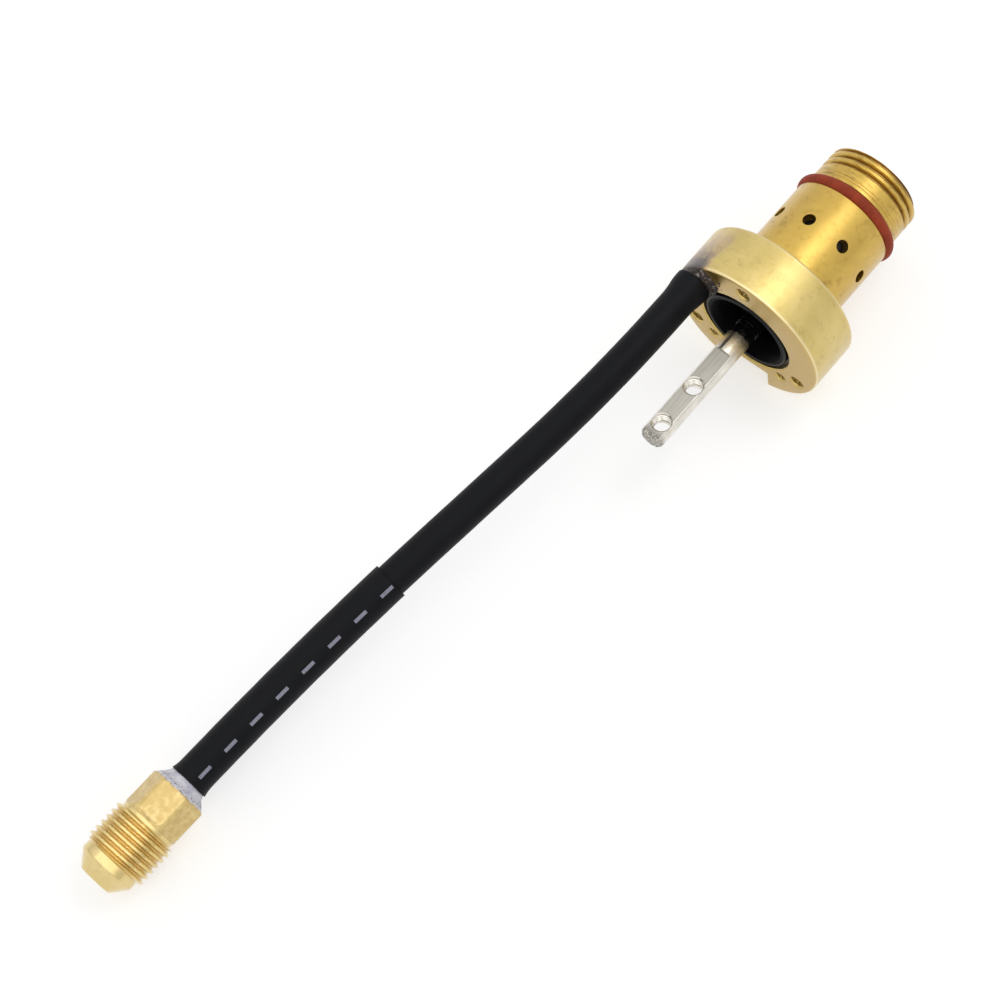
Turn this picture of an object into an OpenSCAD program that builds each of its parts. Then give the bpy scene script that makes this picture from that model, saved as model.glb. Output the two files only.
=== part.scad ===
// Welding torch head: flanged brass body with a threaded nose, an insulated
// centre terminal, and a rigid gas and power tube that ends in a flare fitting.
// +X runs along the torch axis towards the nose, +Z is up with the flange notch
// straight down, and the origin is the centre of the flange's rear face.

/* [Flange] */
// Outside diameter of the flange
flange_d = 40; // [39:0.5:44]
// Thickness of the flange
flange_t = 13.2; // [12.6:0.2:16]
// Chamfer on the flange's edges
flange_edge = 0.5; // [0.2:0.1:0.7]
// Diameter of the bore in the rear face
rear_bore_d = 24.3; // [24.2:0.1:24.8]
// Depth of the rear bore, where the barrel's tail is met
rear_bore_depth = 7.2; // [6.8:0.1:8]
// Width of the notch in the rim
notch_w = 11.5; // [8:0.5:13]
// Distance from the torch axis to the notch's floor
notch_floor = 13.6; // [13.2:0.1:15]

/* [Flange holes] */
// Pitch circle of the three mounting holes
mount_pcd = 33; // [32:0.5:34]
// Tap drill of the mounting holes
mount_hole_d = 3.3; // [2.5:0.1:4.2]
// Depth of the mounting holes
mount_hole_depth = 9; // [6:0.5:11]
// Pitch circle of the two cover screw holes
cover_pcd = 29.1; // [28.6:0.1:30]
// Angle of the cover screw holes from the notch
cover_angle = 41.4; // [38:0.2:46]
// Tap drill of the cover screw holes
cover_hole_d = 2.5; // [1.6:0.1:3.3]
// Depth of the cover screw holes
cover_hole_depth = 7; // [4:0.5:10]
// Countersink width around each tapped hole
hole_countersink = 0.3; // [0.1:0.1:0.5]

/* [Barrel] */
// Outside diameter of the barrel
barrel_d = 25.3; // [25:0.1:26]
// Distance from the flange's rear face to the O-ring shoulder
barrel_shoulder_x = 35.4; // [34.5:0.1:38]
// Distance from the flange's rear face to the nose's end
nose_x = 47.8; // [47.2:0.1:52]
// Diameter of the neck between the O-ring and the thread
neck_d = 23.8; // [23.4:0.1:23.9]
// Major diameter of the nose thread
nose_thread_d = 23.8; // [23.4:0.1:23.9]
// Pitch of the nose thread
nose_pitch = 2; // [1.5:0.25:2]
// Number of thread grooves on the nose
nose_turns = 3; // [2:1:3]
// Diameter of the barrel's long bore
barrel_bore_d = 20.4; // [20.2:0.1:20.8]
// Where the long bore steps down to the nose bore
bore_step_x = 33; // [32.6:0.1:34]
// Diameter of the nose bore
nose_bore_d = 18.6; // [18.2:0.1:18.8]

/* [Gas holes] */
// Number of gas holes round the barrel
gas_hole_count = 8; // [4:1:10]
// Diameter of a gas hole
gas_hole_d = 3; // [1.5:0.1:3.6]
// Distance of the gas holes from the flange's rear face
gas_hole_x = 25.8; // [23:0.2:26.5]
// Angle of the first gas hole
gas_hole_phase = 37.5; // [0:0.5:45]
// Diameter of the port between the gas tube and the barrel
gas_port_d = 2.5; // [1.5:0.1:2.8]

/* [Nose O-ring] */
// Cord diameter of the nose O-ring
nose_ring_cord = 2.6; // [2.2:0.1:2.8]
// Height that the nose O-ring stands above the barrel
nose_ring_stand = 0.75; // [0.4:0.05:0.9]
// Room along the groove beside the O-ring
nose_ring_room = 0.4; // [0.2:0.1:0.6]

/* [Insulators] */
// Outside diameter of the cup's lip
cup_lip_d = 22.6; // [22.2:0.1:22.8]
// Diameter of the cup's mouth
cup_mouth_d = 19.9; // [18.6:0.1:20.4]
// Distance from the flange's rear face to the cup's shoulder
cup_shoulder_x = 2.6; // [2.4:0.1:3]
// Outside diameter of the cup's and the front insulator's long tubes
insulator_d = 18.4; // [18:0.1:18.6]
// Diameter of the cup's deep recess
cup_recess_d = 15.2; // [14:0.2:15.6]
// Distance from the flange's rear face to the cup's floor
cup_floor_x = 16; // [15:0.5:17]
// Thickness of the cup's floor
cup_floor_t = 3; // [2.5:0.1:3.4]
// Length of the front insulator's sealing collar
collar_t = 4; // [3.6:0.1:4.4]
// Distance that the front insulator stays back from the nose's end
insulator_setback = 4.2; // [4:0.1:5]
// Bore of the front insulator
insulator_bore_d = 12.2; // [12:0.1:12.6]
// Cord diameter of the insulators' O-rings
seal_cord = 1.78; // [1.5:0.02:1.9]

/* [Cathode body and terminal] */
// Distance that the cathode body stays back from the nose's end
cathode_setback = 6.2; // [6:0.1:8]
// Diameter of the electrode socket
socket_d = 6; // [4:0.1:6.6]
// Depth of the electrode socket
socket_depth = 11; // [8:0.5:12]
// Cord diameter of the cathode body's O-rings
cathode_seal_cord = 1.45; // [1.2:0.05:1.5]
// Diameter of the terminal stem
stem_d = 5.9; // [5.6:0.1:6.2]
// Distance that the stem stands out behind the flange
stem_reach = 34; // [32:0.5:44]
// Distance behind the flange where the stem's flat begins
flat_start = 7.8; // [6:0.2:10]
// Height of the flat above the stem's axis
flat_height = 2; // [1.2:0.1:2.4]
// Direction that the flat faces, from +Y towards +Z
flat_angle = 90; // [60:1:120]
// Diameter of the two cross holes
cross_hole_d = 4.2; // [2.5:0.1:4.4]
// Distance of the first cross hole behind the flange
cross_hole_x = 18.4; // [14:0.2:19]
// Distance between the cross holes
cross_hole_gap = 11.3; // [8:0.1:12.6]
// Diameter of the stem's threaded end
stem_thread_d = 5; // [4.5:0.1:5.2]
// Distance behind the flange where the stem's sleeve begins
sleeve_start = 2.3; // [1:0.1:4]
// Width of the stem nut across its flats
stem_nut_af = 8; // [7:0.1:9]
// Thickness of the stem nut
stem_nut_t = 4; // [3:0.1:4.6]
// Thickness of the stem washer
stem_washer_t = 1.2; // [0.8:0.1:1.6]

/* [Gas tube] */
// Outside diameter of the copper tube
tube_d = 6; // [5.6:0.1:6.2]
// Bore of the copper tube
tube_bore_d = 4; // [3:0.1:4.4]
// Radius at which the tube enters the flange
tube_seat_r = 16.7; // [16.4:0.05:16.75]
// Angle at which the tube enters the flange, from +Y towards +Z
tube_seat_angle = 41; // [39:0.5:44]
// Depth of the tube's seat in the flange
tube_seat_depth = 11.4; // [9:0.2:12]
// Direction in which the tube's S-bend swings, from +Y towards +Z
bend_plane = -47.8; // [-52:0.1:-44]
// Straight length between the flange and the first bend
lead_l = 12; // [11:0.5:16]
// Radius of the first bend
bend_1_r = 152; // [140:1:170]
// Angle of the first bend
bend_1_angle = 16.7; // [15:0.1:18]
// Straight length between the bends
middle_l = 28; // [20:0.5:36]
// Radius of the second bend
bend_2_r = 350; // [320:5:380]
// Angle of the second bend
bend_2_angle = 11.9; // [10:0.1:13]
// Straight length from the second bend to the fitting's front
end_l = 30.5; // [30:0.5:36]

/* [Heat-shrink] */
// Wall of the inner heat-shrink sleeve
shrink_wall = 0.85; // [0.4:0.05:1]
// Wall of the outer heat-shrink sleeve
outer_shrink_wall = 0.5; // [0.4:0.05:0.8]
// Length of the outer heat-shrink sleeve
outer_shrink_l = 62; // [40:1:80]
// Distance behind the flange where the inner sleeve begins
shrink_start = 1.6; // [1.4:0.1:2.4]
// Outside diameter of the bulge over the braze
bulge_d = 8.8; // [8.6:0.1:9.4]

/* [Flare fitting] */
// Major diameter of the fitting's thread
fitting_thread_d = 16; // [15.4:0.1:17]
// Pitch of the fitting's thread
fitting_pitch = 1.6; // [1:0.05:1.6]
// Number of thread grooves on the fitting
fitting_turns = 6; // [4:1:6]
// Diameter of the flat front of the flare
flare_front_d = 8; // [7:0.1:9]
// Length of the flare's cone
flare_l = 3.6; // [2.8:0.1:3.8]
// Diameter of the land behind the flare
land_d = 13.9; // [13:0.1:14]
// Length of the land
land_l = 2; // [1.5:0.1:4]
// Length of the relief between thread and hexagon
relief_l = 1; // [0.8:0.1:2]
// Width of the hexagon across its flats
hex_af = 12.7; // [12:0.1:13.4]
// Diameter to which the hexagon's corners are turned
hex_corner_d = 14.1; // [14:0.1:14.6]
// Length of the hexagon
hex_l = 9.5; // [9:0.1:11]
// Angle of the hexagon about the fitting's axis
hex_angle = 57.8; // [0:0.2:60]
// Bore of the fitting
fitting_bore_d = 4.4; // [3:0.1:5]
// Depth of the tube's socket in the fitting
fitting_socket = 9.6; // [6:0.2:12]
// Length of the braze collar behind the hexagon
collar_l = 2.4; // [2:0.1:3.4]

/* [Hidden] */
$fn = 96;
// Running clearance of pieces that slide into each other, on the radius
slip = 0.05;
// Clearance of brazed and pressed pieces, on the radius
seat = 0.02;
// Overshoot of cutting tools
over = 1;

// Flange, barrel and grooves
barrel_bore_r = barrel_d / 2 + seat;
spring_ring_t = 1;
spring_ring_bite = 0.6;
spring_ring_gap = 40;
spring_ring_room = 0.05;
nose_groove_w = nose_ring_cord + nose_ring_room;
nose_groove_r = barrel_d / 2 + nose_ring_stand - nose_ring_cord;
nose_ring_x = barrel_shoulder_x + nose_ring_cord / 2 + seat;
nose_runout = 0.55;
shoulder_edge = 0.3;
nose_edge = 0.5;
notch_reach = flange_d / 2;

// Insulators
cup_body_r = rear_bore_d / 2 - slip;
cup_lip_x = 0.1;
cup_taper_l = 4;
cup_taper_x = cup_lip_x + cup_taper_l;
seal_squeeze = 0.02;
seal_side_play = 0.2;
seal_groove_w = seal_cord + seal_side_play;
cup_seal_x = (cup_shoulder_x + rear_bore_depth) / 2;
cup_seal_r = rear_bore_d / 2 - seal_squeeze - seal_cord / 2;
collar_r = barrel_bore_d / 2 - slip;
collar_x = bore_step_x - collar_t;
collar_seal_x = collar_x + collar_t / 2;
collar_seal_r = barrel_bore_d / 2 - seal_squeeze - seal_cord / 2;
cup_end_x = cup_floor_x + cup_floor_t;
insulator_end_x = nose_x - insulator_setback;
insulator_nose_r = nose_bore_d / 2 - slip;
lip_round = 0.5;

// Cathode body and terminal
cathode_r = insulator_bore_d / 2 - slip;
cathode_end_x = nose_x - cathode_setback;
cathode_seal_r = insulator_bore_d / 2 - seal_squeeze - cathode_seal_cord / 2;
cathode_groove_w = cathode_seal_cord + seal_side_play;
cathode_seal_margin = 3.6;
cathode_seal_xs = [cup_end_x + cathode_seal_margin, cathode_end_x - cathode_seal_margin];
stem_socket_depth = 8.6;
stem_end_play = 0.4;
stem_end_x = cup_end_x + stem_socket_depth - stem_end_play;
stem_tip_edge = 0.6;
washer_x = cup_floor_x - stem_washer_t;
washer_rim = 1.2;
washer_d = stem_nut_af + 2 * washer_rim;
nut_x = washer_x - stem_nut_t;
sleeve_end_gap = 0.4;
sleeve_rib = 0.25;
sleeve_rib_w = 0.5;
sleeve_rib_xs = [0.1, 1.6];

// Tube route: two straights and two bends in one plane, then a straight end
bend_1_l = bend_1_r * bend_1_angle * PI / 180;
bend_2_l = bend_2_r * bend_2_angle * PI / 180;
bend_1_s = lead_l;
middle_s = bend_1_s + bend_1_l;
bend_2_s = middle_s + middle_l;
end_s = bend_2_s + bend_2_l;
route_l = end_s + end_l;
band_l = 0.6;
band_h = 0.03;
band_play = 0.02;

// Fitting, measured back from its front
thread_z = flare_l + land_l;
relief_z = thread_z + (fitting_turns + 0.5) * fitting_pitch;
hex_z = relief_z + relief_l;
hex_end_z = hex_z + hex_l;
hex_edge = 0.9;
tube_end_play = 0.2;
tube_end_s = route_l - hex_end_z + fitting_socket - tube_end_play;
collar_s = route_l - hex_end_z - collar_l;
collar_step = 0.2;
collar_front_r = hex_af / 2 - collar_step;
collar_waist = 1.2;

// Heat-shrink and braze
shrink_in_r = tube_d / 2 + slip;
shrink_r = shrink_in_r + shrink_wall;
outer_shrink_in_r = shrink_r + slip;
outer_shrink_r = outer_shrink_in_r + outer_shrink_wall;
shrink_end_s = collar_s - seat;
outer_shrink_s = shrink_end_s - outer_shrink_l;
flare_mouth_l = 1.6;
flare_mouth_swell = 0.35;
flare_mouth_r = outer_shrink_r + flare_mouth_swell;
bulge_flat_l = 2.4;
bulge_taper_l = 3;
bulge_flat_s = shrink_start + bulge_flat_l;
bulge_end_s = bulge_flat_s + bulge_taper_l;
bulge_round = 0.5;
braze_foot_r = 4.3;
braze_gap = 0.03;

// Turns a piece drawn up the Z axis so that it lies along the torch axis.
// Angles about Z then run from +Y towards +Z.
module on_axis() {
    rotate([90, 0, 90]) children();
}

// Circular plate from one station of the axis to another
module disc(z0, z1, r) {
    translate([0, 0, z0]) cylinder(h = z1 - z0, r = r);
}

// Cone frustum from one station of the axis to another
module taper(z0, z1, r0, r1) {
    translate([0, 0, z0]) cylinder(h = z1 - z0, r1 = r0, r2 = r1);
}

// Round cord bent into a ring
module cord_ring(z, r, cord) {
    translate([0, 0, z]) rotate_extrude() translate([r, 0]) circle(d = cord, $fn = 32);
}

// Ring-shaped groove cutter with square sides
module groove(z, w, r_floor, r_out) {
    translate([0, 0, z - w / 2]) difference() {
        cylinder(h = w, r = r_out + over);
        translate([0, 0, -over]) cylinder(h = w + 2 * over, r = r_floor);
    }
}

// One V-shaped thread groove, a closed ring, 60 degrees between its flanks
module thread_groove(z, d, pitch) {
    depth = 0.61 * pitch;
    root = pitch / 8;
    half = root / 2 + depth * tan(30);
    reach = 0.2;
    translate([0, 0, z]) rotate_extrude() polygon([
        [d / 2 - depth, -root / 2],
        [d / 2 + reach, -half - reach * tan(30)],
        [d / 2 + reach, half + reach * tan(30)],
        [d / 2 - depth, root / 2]
    ]);
}

// Blind hole in the rear face with a small countersink
module tapped_hole(r, angle, d, depth) {
    rotate([0, 0, angle]) translate([r, 0, 0]) {
        disc(-over, depth, d / 2);
        taper(-over, hole_countersink, d / 2 + hole_countersink + over, d / 2);
    }
}

// Radial hole from an inner radius to an outer one
module radial_hole(z, angle, r0, r1, d) {
    rotate([0, 0, angle]) translate([r0, 0, z]) rotate([0, 90, 0]) cylinder(h = r1 - r0, d = d);
}

// The tube's route: its origin is the exit in the rear face, +Z runs along the
// tube away from the flange, and +X is the way the first bend turns
module route_start() {
    translate([tube_seat_r * cos(tube_seat_angle), tube_seat_r * sin(tube_seat_angle), 0])
        rotate([0, 0, bend_plane]) mirror([0, 0, 1]) children();
}

module after_run(l) {
    translate([0, 0, l]) children();
}

module after_turn(r, a, side) {
    translate([side * r * (1 - cos(a)), 0, r * sin(a)]) rotate([0, side * a, 0]) children();
}

// Solid rod between two lengths along a straight
module run(l0, l1, r) {
    if (l1 > l0) translate([0, 0, l0]) cylinder(h = l1 - l0, r = r);
}

// Solid rod between two lengths along a bend; side 1 turns towards +X and -1 back
module turn(l0, l1, bend_r, side, r) {
    a0 = l0 / bend_r * 180 / PI;
    a1 = l1 / bend_r * 180 / PI;
    if (l1 > l0) rotate([0, 0, side > 0 ? 0 : 180]) translate([bend_r, 0, 0]) rotate([90, 0, 0])
        rotate([0, 0, 180 - a1]) rotate_extrude(angle = a1 - a0, $fn = 360) translate([bend_r, 0])
            circle(r = r, $fn = 64);
}

// Short band that joins two lengths of the rod where one ends inside the span
module band(s, s0, s1, r) {
    if (s > s0 && s < s1) translate([0, 0, -band_l / 2]) cylinder(h = band_l, r = r + band_h);
}

// Solid rod along the route from one length to another
module route_rod(s0, s1, r) {
    run(s0, min(s1, bend_1_s - band_play), r);
    after_run(lead_l) {
        band(bend_1_s, s0, s1, r);
        turn(max(s0 - bend_1_s, band_play), min(s1 - bend_1_s, bend_1_l - band_play), bend_1_r, 1, r);
        after_turn(bend_1_r, bend_1_angle, 1) {
            band(middle_s, s0, s1, r);
            run(max(s0 - middle_s, band_play), min(s1 - middle_s, middle_l - band_play), r);
            after_run(middle_l) {
                band(bend_2_s, s0, s1, r);
                turn(max(s0 - bend_2_s, band_play), min(s1 - bend_2_s, bend_2_l - band_play), bend_2_r,
                    -1, r);
                after_turn(bend_2_r, bend_2_angle, -1) {
                    band(end_s, s0, s1, r);
                    run(max(s0 - end_s, band_play), s1 - end_s, r);
                }
            }
        }
    }
}

// Pipe along the route from one length to another
module route_pipe(s0, s1, r_out, r_in) {
    difference() {
        route_rod(s0, s1, r_out);
        route_rod(s0 - over, s1 + over, r_in);
    }
}

// Frame at the fitting's front, +Z back along the fitting towards the flange
module fitting_frame() {
    route_start() after_run(lead_l) after_turn(bend_1_r, bend_1_angle, 1) after_run(middle_l)
        after_turn(bend_2_r, bend_2_angle, -1) after_run(end_l) rotate([180, 0, 0]) children();
}

module flange_ring() {
    color("#c9b17a") on_axis() difference() {
        union() {
            taper(0, flange_edge, flange_d / 2 - flange_edge, flange_d / 2);
            disc(flange_edge, flange_t - flange_edge, flange_d / 2);
            taper(flange_t - flange_edge, flange_t, flange_d / 2, flange_d / 2 - flange_edge);
        }
        disc(-over, rear_bore_depth + seat, rear_bore_d / 2);
        taper(-over, hole_countersink, rear_bore_d / 2 + hole_countersink + over, rear_bore_d / 2);
        disc(rear_bore_depth, flange_t + over, barrel_bore_r);
        groove(cup_shoulder_x - spring_ring_room - spring_ring_t / 2, spring_ring_t + 2 * spring_ring_room,
            rear_bore_d / 2 - over, rear_bore_d / 2 + spring_ring_bite + spring_ring_room - over);
        for (k = [0:2]) tapped_hole(mount_pcd / 2, 90 + 120 * k, mount_hole_d, mount_hole_depth);
        for (side = [-1, 1])
            tapped_hole(cover_pcd / 2, 270 + side * cover_angle, cover_hole_d, cover_hole_depth);
        translate([-notch_w / 2, -notch_floor - notch_reach, -over])
            cube([notch_w, notch_reach, flange_t + 2 * over]);
        rotate([0, 0, tube_seat_angle]) translate([tube_seat_r, 0, 0])
            disc(-over, tube_seat_depth + seat, tube_d / 2 + slip);
        radial_hole((rear_bore_depth + tube_seat_depth) / 2, tube_seat_angle, barrel_d / 2 - over,
            tube_seat_r, gas_port_d);
    }
}

module nose_barrel() {
    color("#c19a45") on_axis() difference() {
        union() {
            disc(rear_bore_depth + seat, barrel_shoulder_x - shoulder_edge, barrel_d / 2);
            taper(barrel_shoulder_x - shoulder_edge, barrel_shoulder_x, barrel_d / 2,
                barrel_d / 2 - shoulder_edge);
            disc(barrel_shoulder_x - over, barrel_shoulder_x + nose_groove_w, nose_groove_r);
            disc(barrel_shoulder_x + nose_groove_w, nose_x - nose_turns * nose_pitch, neck_d / 2);
            disc(nose_x - nose_turns * nose_pitch, nose_x - nose_edge, nose_thread_d / 2);
            taper(nose_x - nose_edge, nose_x, nose_thread_d / 2, nose_thread_d / 2 - nose_edge);
        }
        disc(0, bore_step_x, barrel_bore_d / 2);
        disc(bore_step_x - over, nose_x + over, nose_bore_d / 2);
        for (k = [0:nose_turns - 1])
            thread_groove(nose_x - nose_runout - k * nose_pitch, nose_thread_d, nose_pitch);
        for (k = [0:gas_hole_count - 1])
            radial_hole(gas_hole_x, gas_hole_phase + 360 / gas_hole_count * k, barrel_bore_d / 2 - over,
                barrel_d / 2 + over, gas_hole_d);
        radial_hole((rear_bore_depth + tube_seat_depth) / 2, tube_seat_angle, barrel_bore_d / 2 - over,
            barrel_d / 2 + over, gas_port_d);
    }
}

module nose_o_ring() {
    color("#9c4638") on_axis()
        cord_ring(nose_ring_x, nose_groove_r + nose_ring_cord / 2 + seat, nose_ring_cord);
}

module retaining_ring() {
    color("#3a3a3c") on_axis() difference() {
        disc(cup_shoulder_x - spring_ring_room - spring_ring_t, cup_shoulder_x - spring_ring_room,
            rear_bore_d / 2 + spring_ring_bite);
        disc(-over, cup_shoulder_x + over, cup_lip_d / 2 + slip);
        rotate([0, 0, 270]) rotate([0, 0, -spring_ring_gap / 2]) translate([0, 0, -over])
            rotate_extrude(angle = spring_ring_gap) square([flange_d, cup_shoulder_x + 2 * over]);
    }
}

module insulator_cup() {
    color("#141416") on_axis() difference() {
        union() {
            taper(cup_lip_x, cup_lip_x + lip_round, cup_lip_d / 2 - lip_round, cup_lip_d / 2);
            disc(cup_lip_x + lip_round, cup_shoulder_x, cup_lip_d / 2);
            disc(cup_shoulder_x, rear_bore_depth, cup_body_r);
            disc(rear_bore_depth - over, cup_end_x, insulator_d / 2);
        }
        taper(cup_lip_x, cup_taper_x, cup_mouth_d / 2, cup_recess_d / 2);
        disc(cup_lip_x - over, cup_lip_x, cup_mouth_d / 2);
        disc(cup_taper_x - seat, cup_floor_x, cup_recess_d / 2);
        disc(0, cup_end_x + over, stem_thread_d / 2 + slip);
        groove(cup_seal_x, seal_groove_w, cup_seal_r - seal_cord / 2 - seat, cup_body_r);
    }
}

module cup_o_ring() {
    color("#1b1b1d") on_axis() cord_ring(cup_seal_x, cup_seal_r, seal_cord);
}

module front_insulator() {
    color("#1a1a1c") on_axis() difference() {
        union() {
            disc(cup_end_x + seat, collar_x, insulator_d / 2);
            disc(collar_x, bore_step_x - seat, collar_r);
            disc(bore_step_x - over, insulator_end_x, insulator_nose_r);
        }
        disc(0, nose_x, insulator_bore_d / 2);
        groove(collar_seal_x, seal_groove_w, collar_seal_r - seal_cord / 2 - seat, collar_r);
    }
}

module insulator_o_ring() {
    color("#1b1b1d") on_axis() cord_ring(collar_seal_x, collar_seal_r, seal_cord);
}

module cathode_body() {
    color("#b98b45") on_axis() difference() {
        disc(cup_end_x + seat, cathode_end_x, cathode_r);
        disc(0, cup_end_x + stem_socket_depth, stem_thread_d / 2 + slip);
        disc(cathode_end_x - socket_depth, nose_x, socket_d / 2);
        for (z = cathode_seal_xs)
            groove(z, cathode_groove_w, cathode_seal_r - cathode_seal_cord / 2 - seat, cathode_r);
    }
}

module cathode_o_rings() {
    color("#1b1b1d") on_axis() for (z = cathode_seal_xs) cord_ring(z, cathode_seal_r, cathode_seal_cord);
}

module terminal_stem() {
    color("#bdbab0") on_axis() difference() {
        union() {
            taper(-stem_reach, -stem_reach + stem_tip_edge, stem_d / 2 - stem_tip_edge, stem_d / 2);
            disc(-stem_reach + stem_tip_edge, -sleeve_start, stem_d / 2);
            disc(-sleeve_start - over, stem_end_x, stem_thread_d / 2);
        }
        rotate([0, 0, flat_angle]) {
            translate([flat_height, -stem_d, -stem_reach - over])
                cube([stem_d, 2 * stem_d, stem_reach - flat_start + over]);
            for (k = [0, 1]) translate([0, 0, -cross_hole_x - k * cross_hole_gap])
                rotate([0, 90, 0]) translate([0, 0, -stem_d]) cylinder(h = 2 * stem_d, d = cross_hole_d);
        }
    }
}

module stem_sleeve() {
    color("#18181a") on_axis() difference() {
        union() {
            disc(-sleeve_start + seat, nut_x - sleeve_end_gap, stem_d / 2);
            for (z = sleeve_rib_xs) disc(z, z + sleeve_rib_w, stem_d / 2 + sleeve_rib);
        }
        disc(-stem_reach, nut_x, stem_thread_d / 2 + slip);
    }
}

module stem_nut() {
    color("#8d8a80") on_axis() difference() {
        translate([0, 0, nut_x]) cylinder(h = stem_nut_t - seat, d = stem_nut_af / cos(30), $fn = 6);
        disc(0, cup_floor_x, stem_thread_d / 2 + slip);
    }
}

module stem_washer() {
    color("#9a978d") on_axis() difference() {
        disc(washer_x, cup_floor_x - seat, washer_d / 2);
        disc(0, cup_floor_x, stem_thread_d / 2 + slip);
    }
}

module gas_tube() {
    color("#b87a4b") on_axis() route_start()
        route_pipe(-tube_seat_depth, tube_end_s, tube_d / 2, tube_bore_d / 2);
}

module tube_braze() {
    color("#8a8378") on_axis() intersection() {
        route_start() rotate_extrude() polygon([
            [shrink_in_r, 0],
            [braze_foot_r, 0],
            [bulge_d / 2 - shrink_wall - braze_gap, shrink_start],
            [bulge_d / 2 - shrink_wall - braze_gap, bulge_flat_s],
            [shrink_in_r, bulge_end_s - over]
        ]);
        disc(-flange_d, 0, flange_d / 2);
    }
}

module heat_shrink_inner() {
    color("#1d1e20") on_axis() route_start() difference() {
        union() {
            taper(shrink_start, shrink_start + bulge_round, bulge_d / 2 - bulge_round, bulge_d / 2);
            disc(shrink_start + bulge_round, bulge_flat_s, bulge_d / 2);
            taper(bulge_flat_s, bulge_end_s, bulge_d / 2, shrink_r + band_h);
            route_rod(bulge_flat_s - over, shrink_end_s, shrink_r);
        }
        disc(shrink_start - over, bulge_flat_s, bulge_d / 2 - shrink_wall);
        taper(bulge_flat_s, bulge_end_s, bulge_d / 2 - shrink_wall, shrink_in_r + band_h);
        route_rod(bulge_flat_s - over, shrink_end_s + over, shrink_in_r);
    }
}

module heat_shrink_outer() {
    color("#1d1e20") on_axis() {
        route_start() route_pipe(outer_shrink_s, shrink_end_s, outer_shrink_r, outer_shrink_in_r);
        fitting_frame() translate([0, 0, hex_end_z + collar_l + seat]) difference() {
            cylinder(h = flare_mouth_l, r1 = flare_mouth_r, r2 = outer_shrink_r + band_h);
            translate([0, 0, -over]) cylinder(h = flare_mouth_l + 2 * over, r = outer_shrink_r - seat);
        }
    }
}

module flare_fitting() {
    color("#d2b25c") on_axis() fitting_frame() difference() {
        union() {
            taper(0, flare_l, flare_front_d / 2, land_d / 2);
            disc(flare_l, hex_z, land_d / 2);
            disc(relief_z, hex_end_z - over, hex_af / 2 - over);
            disc(thread_z, relief_z, fitting_thread_d / 2);
            intersection() {
                rotate([0, 0, hex_angle]) translate([0, 0, hex_z])
                    cylinder(h = hex_l, d = hex_af / cos(30), $fn = 6);
                union() {
                    disc(hex_z - over, hex_end_z - hex_edge, hex_corner_d / 2);
                    taper(hex_end_z - hex_edge, hex_end_z + over, hex_corner_d / 2,
                        hex_corner_d / 2 - hex_edge - over);
                }
            }
        }
        for (k = [0:fitting_turns]) thread_groove(thread_z + fitting_pitch * (k + 0.25),
            fitting_thread_d, fitting_pitch);
        disc(-over, hex_end_z, fitting_bore_d / 2);
        disc(hex_end_z - fitting_socket, hex_end_z + over, tube_d / 2 + slip);
    }
}

module fitting_braze() {
    color("#c9c8c6") on_axis() fitting_frame() rotate_extrude() polygon([
        [shrink_in_r, hex_end_z],
        [collar_front_r, hex_end_z],
        [collar_front_r - collar_waist, hex_end_z + collar_l / 2],
        [outer_shrink_r, hex_end_z + collar_l],
        [shrink_in_r, hex_end_z + collar_l]
    ]);
}

flange_ring();
nose_barrel();
nose_o_ring();
retaining_ring();
insulator_cup();
cup_o_ring();
front_insulator();
insulator_o_ring();
cathode_body();
cathode_o_rings();
terminal_stem();
stem_sleeve();
stem_nut();
stem_washer();
gas_tube();
tube_braze();
heat_shrink_inner();
heat_shrink_outer();
flare_fitting();
fitting_braze();
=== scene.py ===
"""Welding torch head with a sleeved gas tube and a flare fitting, dressed for rendering.

Lengths are in millimetres, and a mesh is scaled to metres as it is made. The torch axis is X, up is Z, and
angles about the axis run from +Y towards +Z.
"""

import bmesh
import bpy
import numpy as np
from bpy.props import FloatProperty, FloatVectorProperty, IntProperty, PointerProperty
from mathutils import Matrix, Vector


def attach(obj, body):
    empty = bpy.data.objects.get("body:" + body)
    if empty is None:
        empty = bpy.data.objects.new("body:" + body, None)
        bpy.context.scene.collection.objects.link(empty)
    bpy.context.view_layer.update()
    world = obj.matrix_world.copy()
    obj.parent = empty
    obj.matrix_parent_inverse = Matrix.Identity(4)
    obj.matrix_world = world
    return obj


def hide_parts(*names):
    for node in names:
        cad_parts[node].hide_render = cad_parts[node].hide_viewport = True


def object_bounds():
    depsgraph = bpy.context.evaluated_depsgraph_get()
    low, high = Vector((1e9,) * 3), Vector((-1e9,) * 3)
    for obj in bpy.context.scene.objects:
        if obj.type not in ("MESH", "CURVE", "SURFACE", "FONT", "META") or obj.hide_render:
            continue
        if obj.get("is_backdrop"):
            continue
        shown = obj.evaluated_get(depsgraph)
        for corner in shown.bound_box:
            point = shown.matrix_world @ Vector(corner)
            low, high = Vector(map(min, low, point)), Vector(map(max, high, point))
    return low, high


bl_info = {
    "name": "Torch head",
    "version": (1, 0, 0),
    "blender": (4, 5, 0),
    "location": "View3D > Sidebar > Torch",
    "description": "Dresses the torch head: threads, sleeves, braze, seals, finishes and stage",
    "category": "Object",
}

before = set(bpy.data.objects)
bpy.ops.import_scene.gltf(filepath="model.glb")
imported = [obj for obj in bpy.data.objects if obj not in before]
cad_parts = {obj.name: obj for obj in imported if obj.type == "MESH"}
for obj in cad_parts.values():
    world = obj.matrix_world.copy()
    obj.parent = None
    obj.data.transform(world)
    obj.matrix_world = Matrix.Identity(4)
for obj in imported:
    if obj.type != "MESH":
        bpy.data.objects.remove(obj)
CAD_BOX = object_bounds()

MM = 0.001
TURN = 2 * np.pi
FLANK = np.tan(np.pi / 6)  # slope of a V thread's flanks


# Sizes and colours


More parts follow.
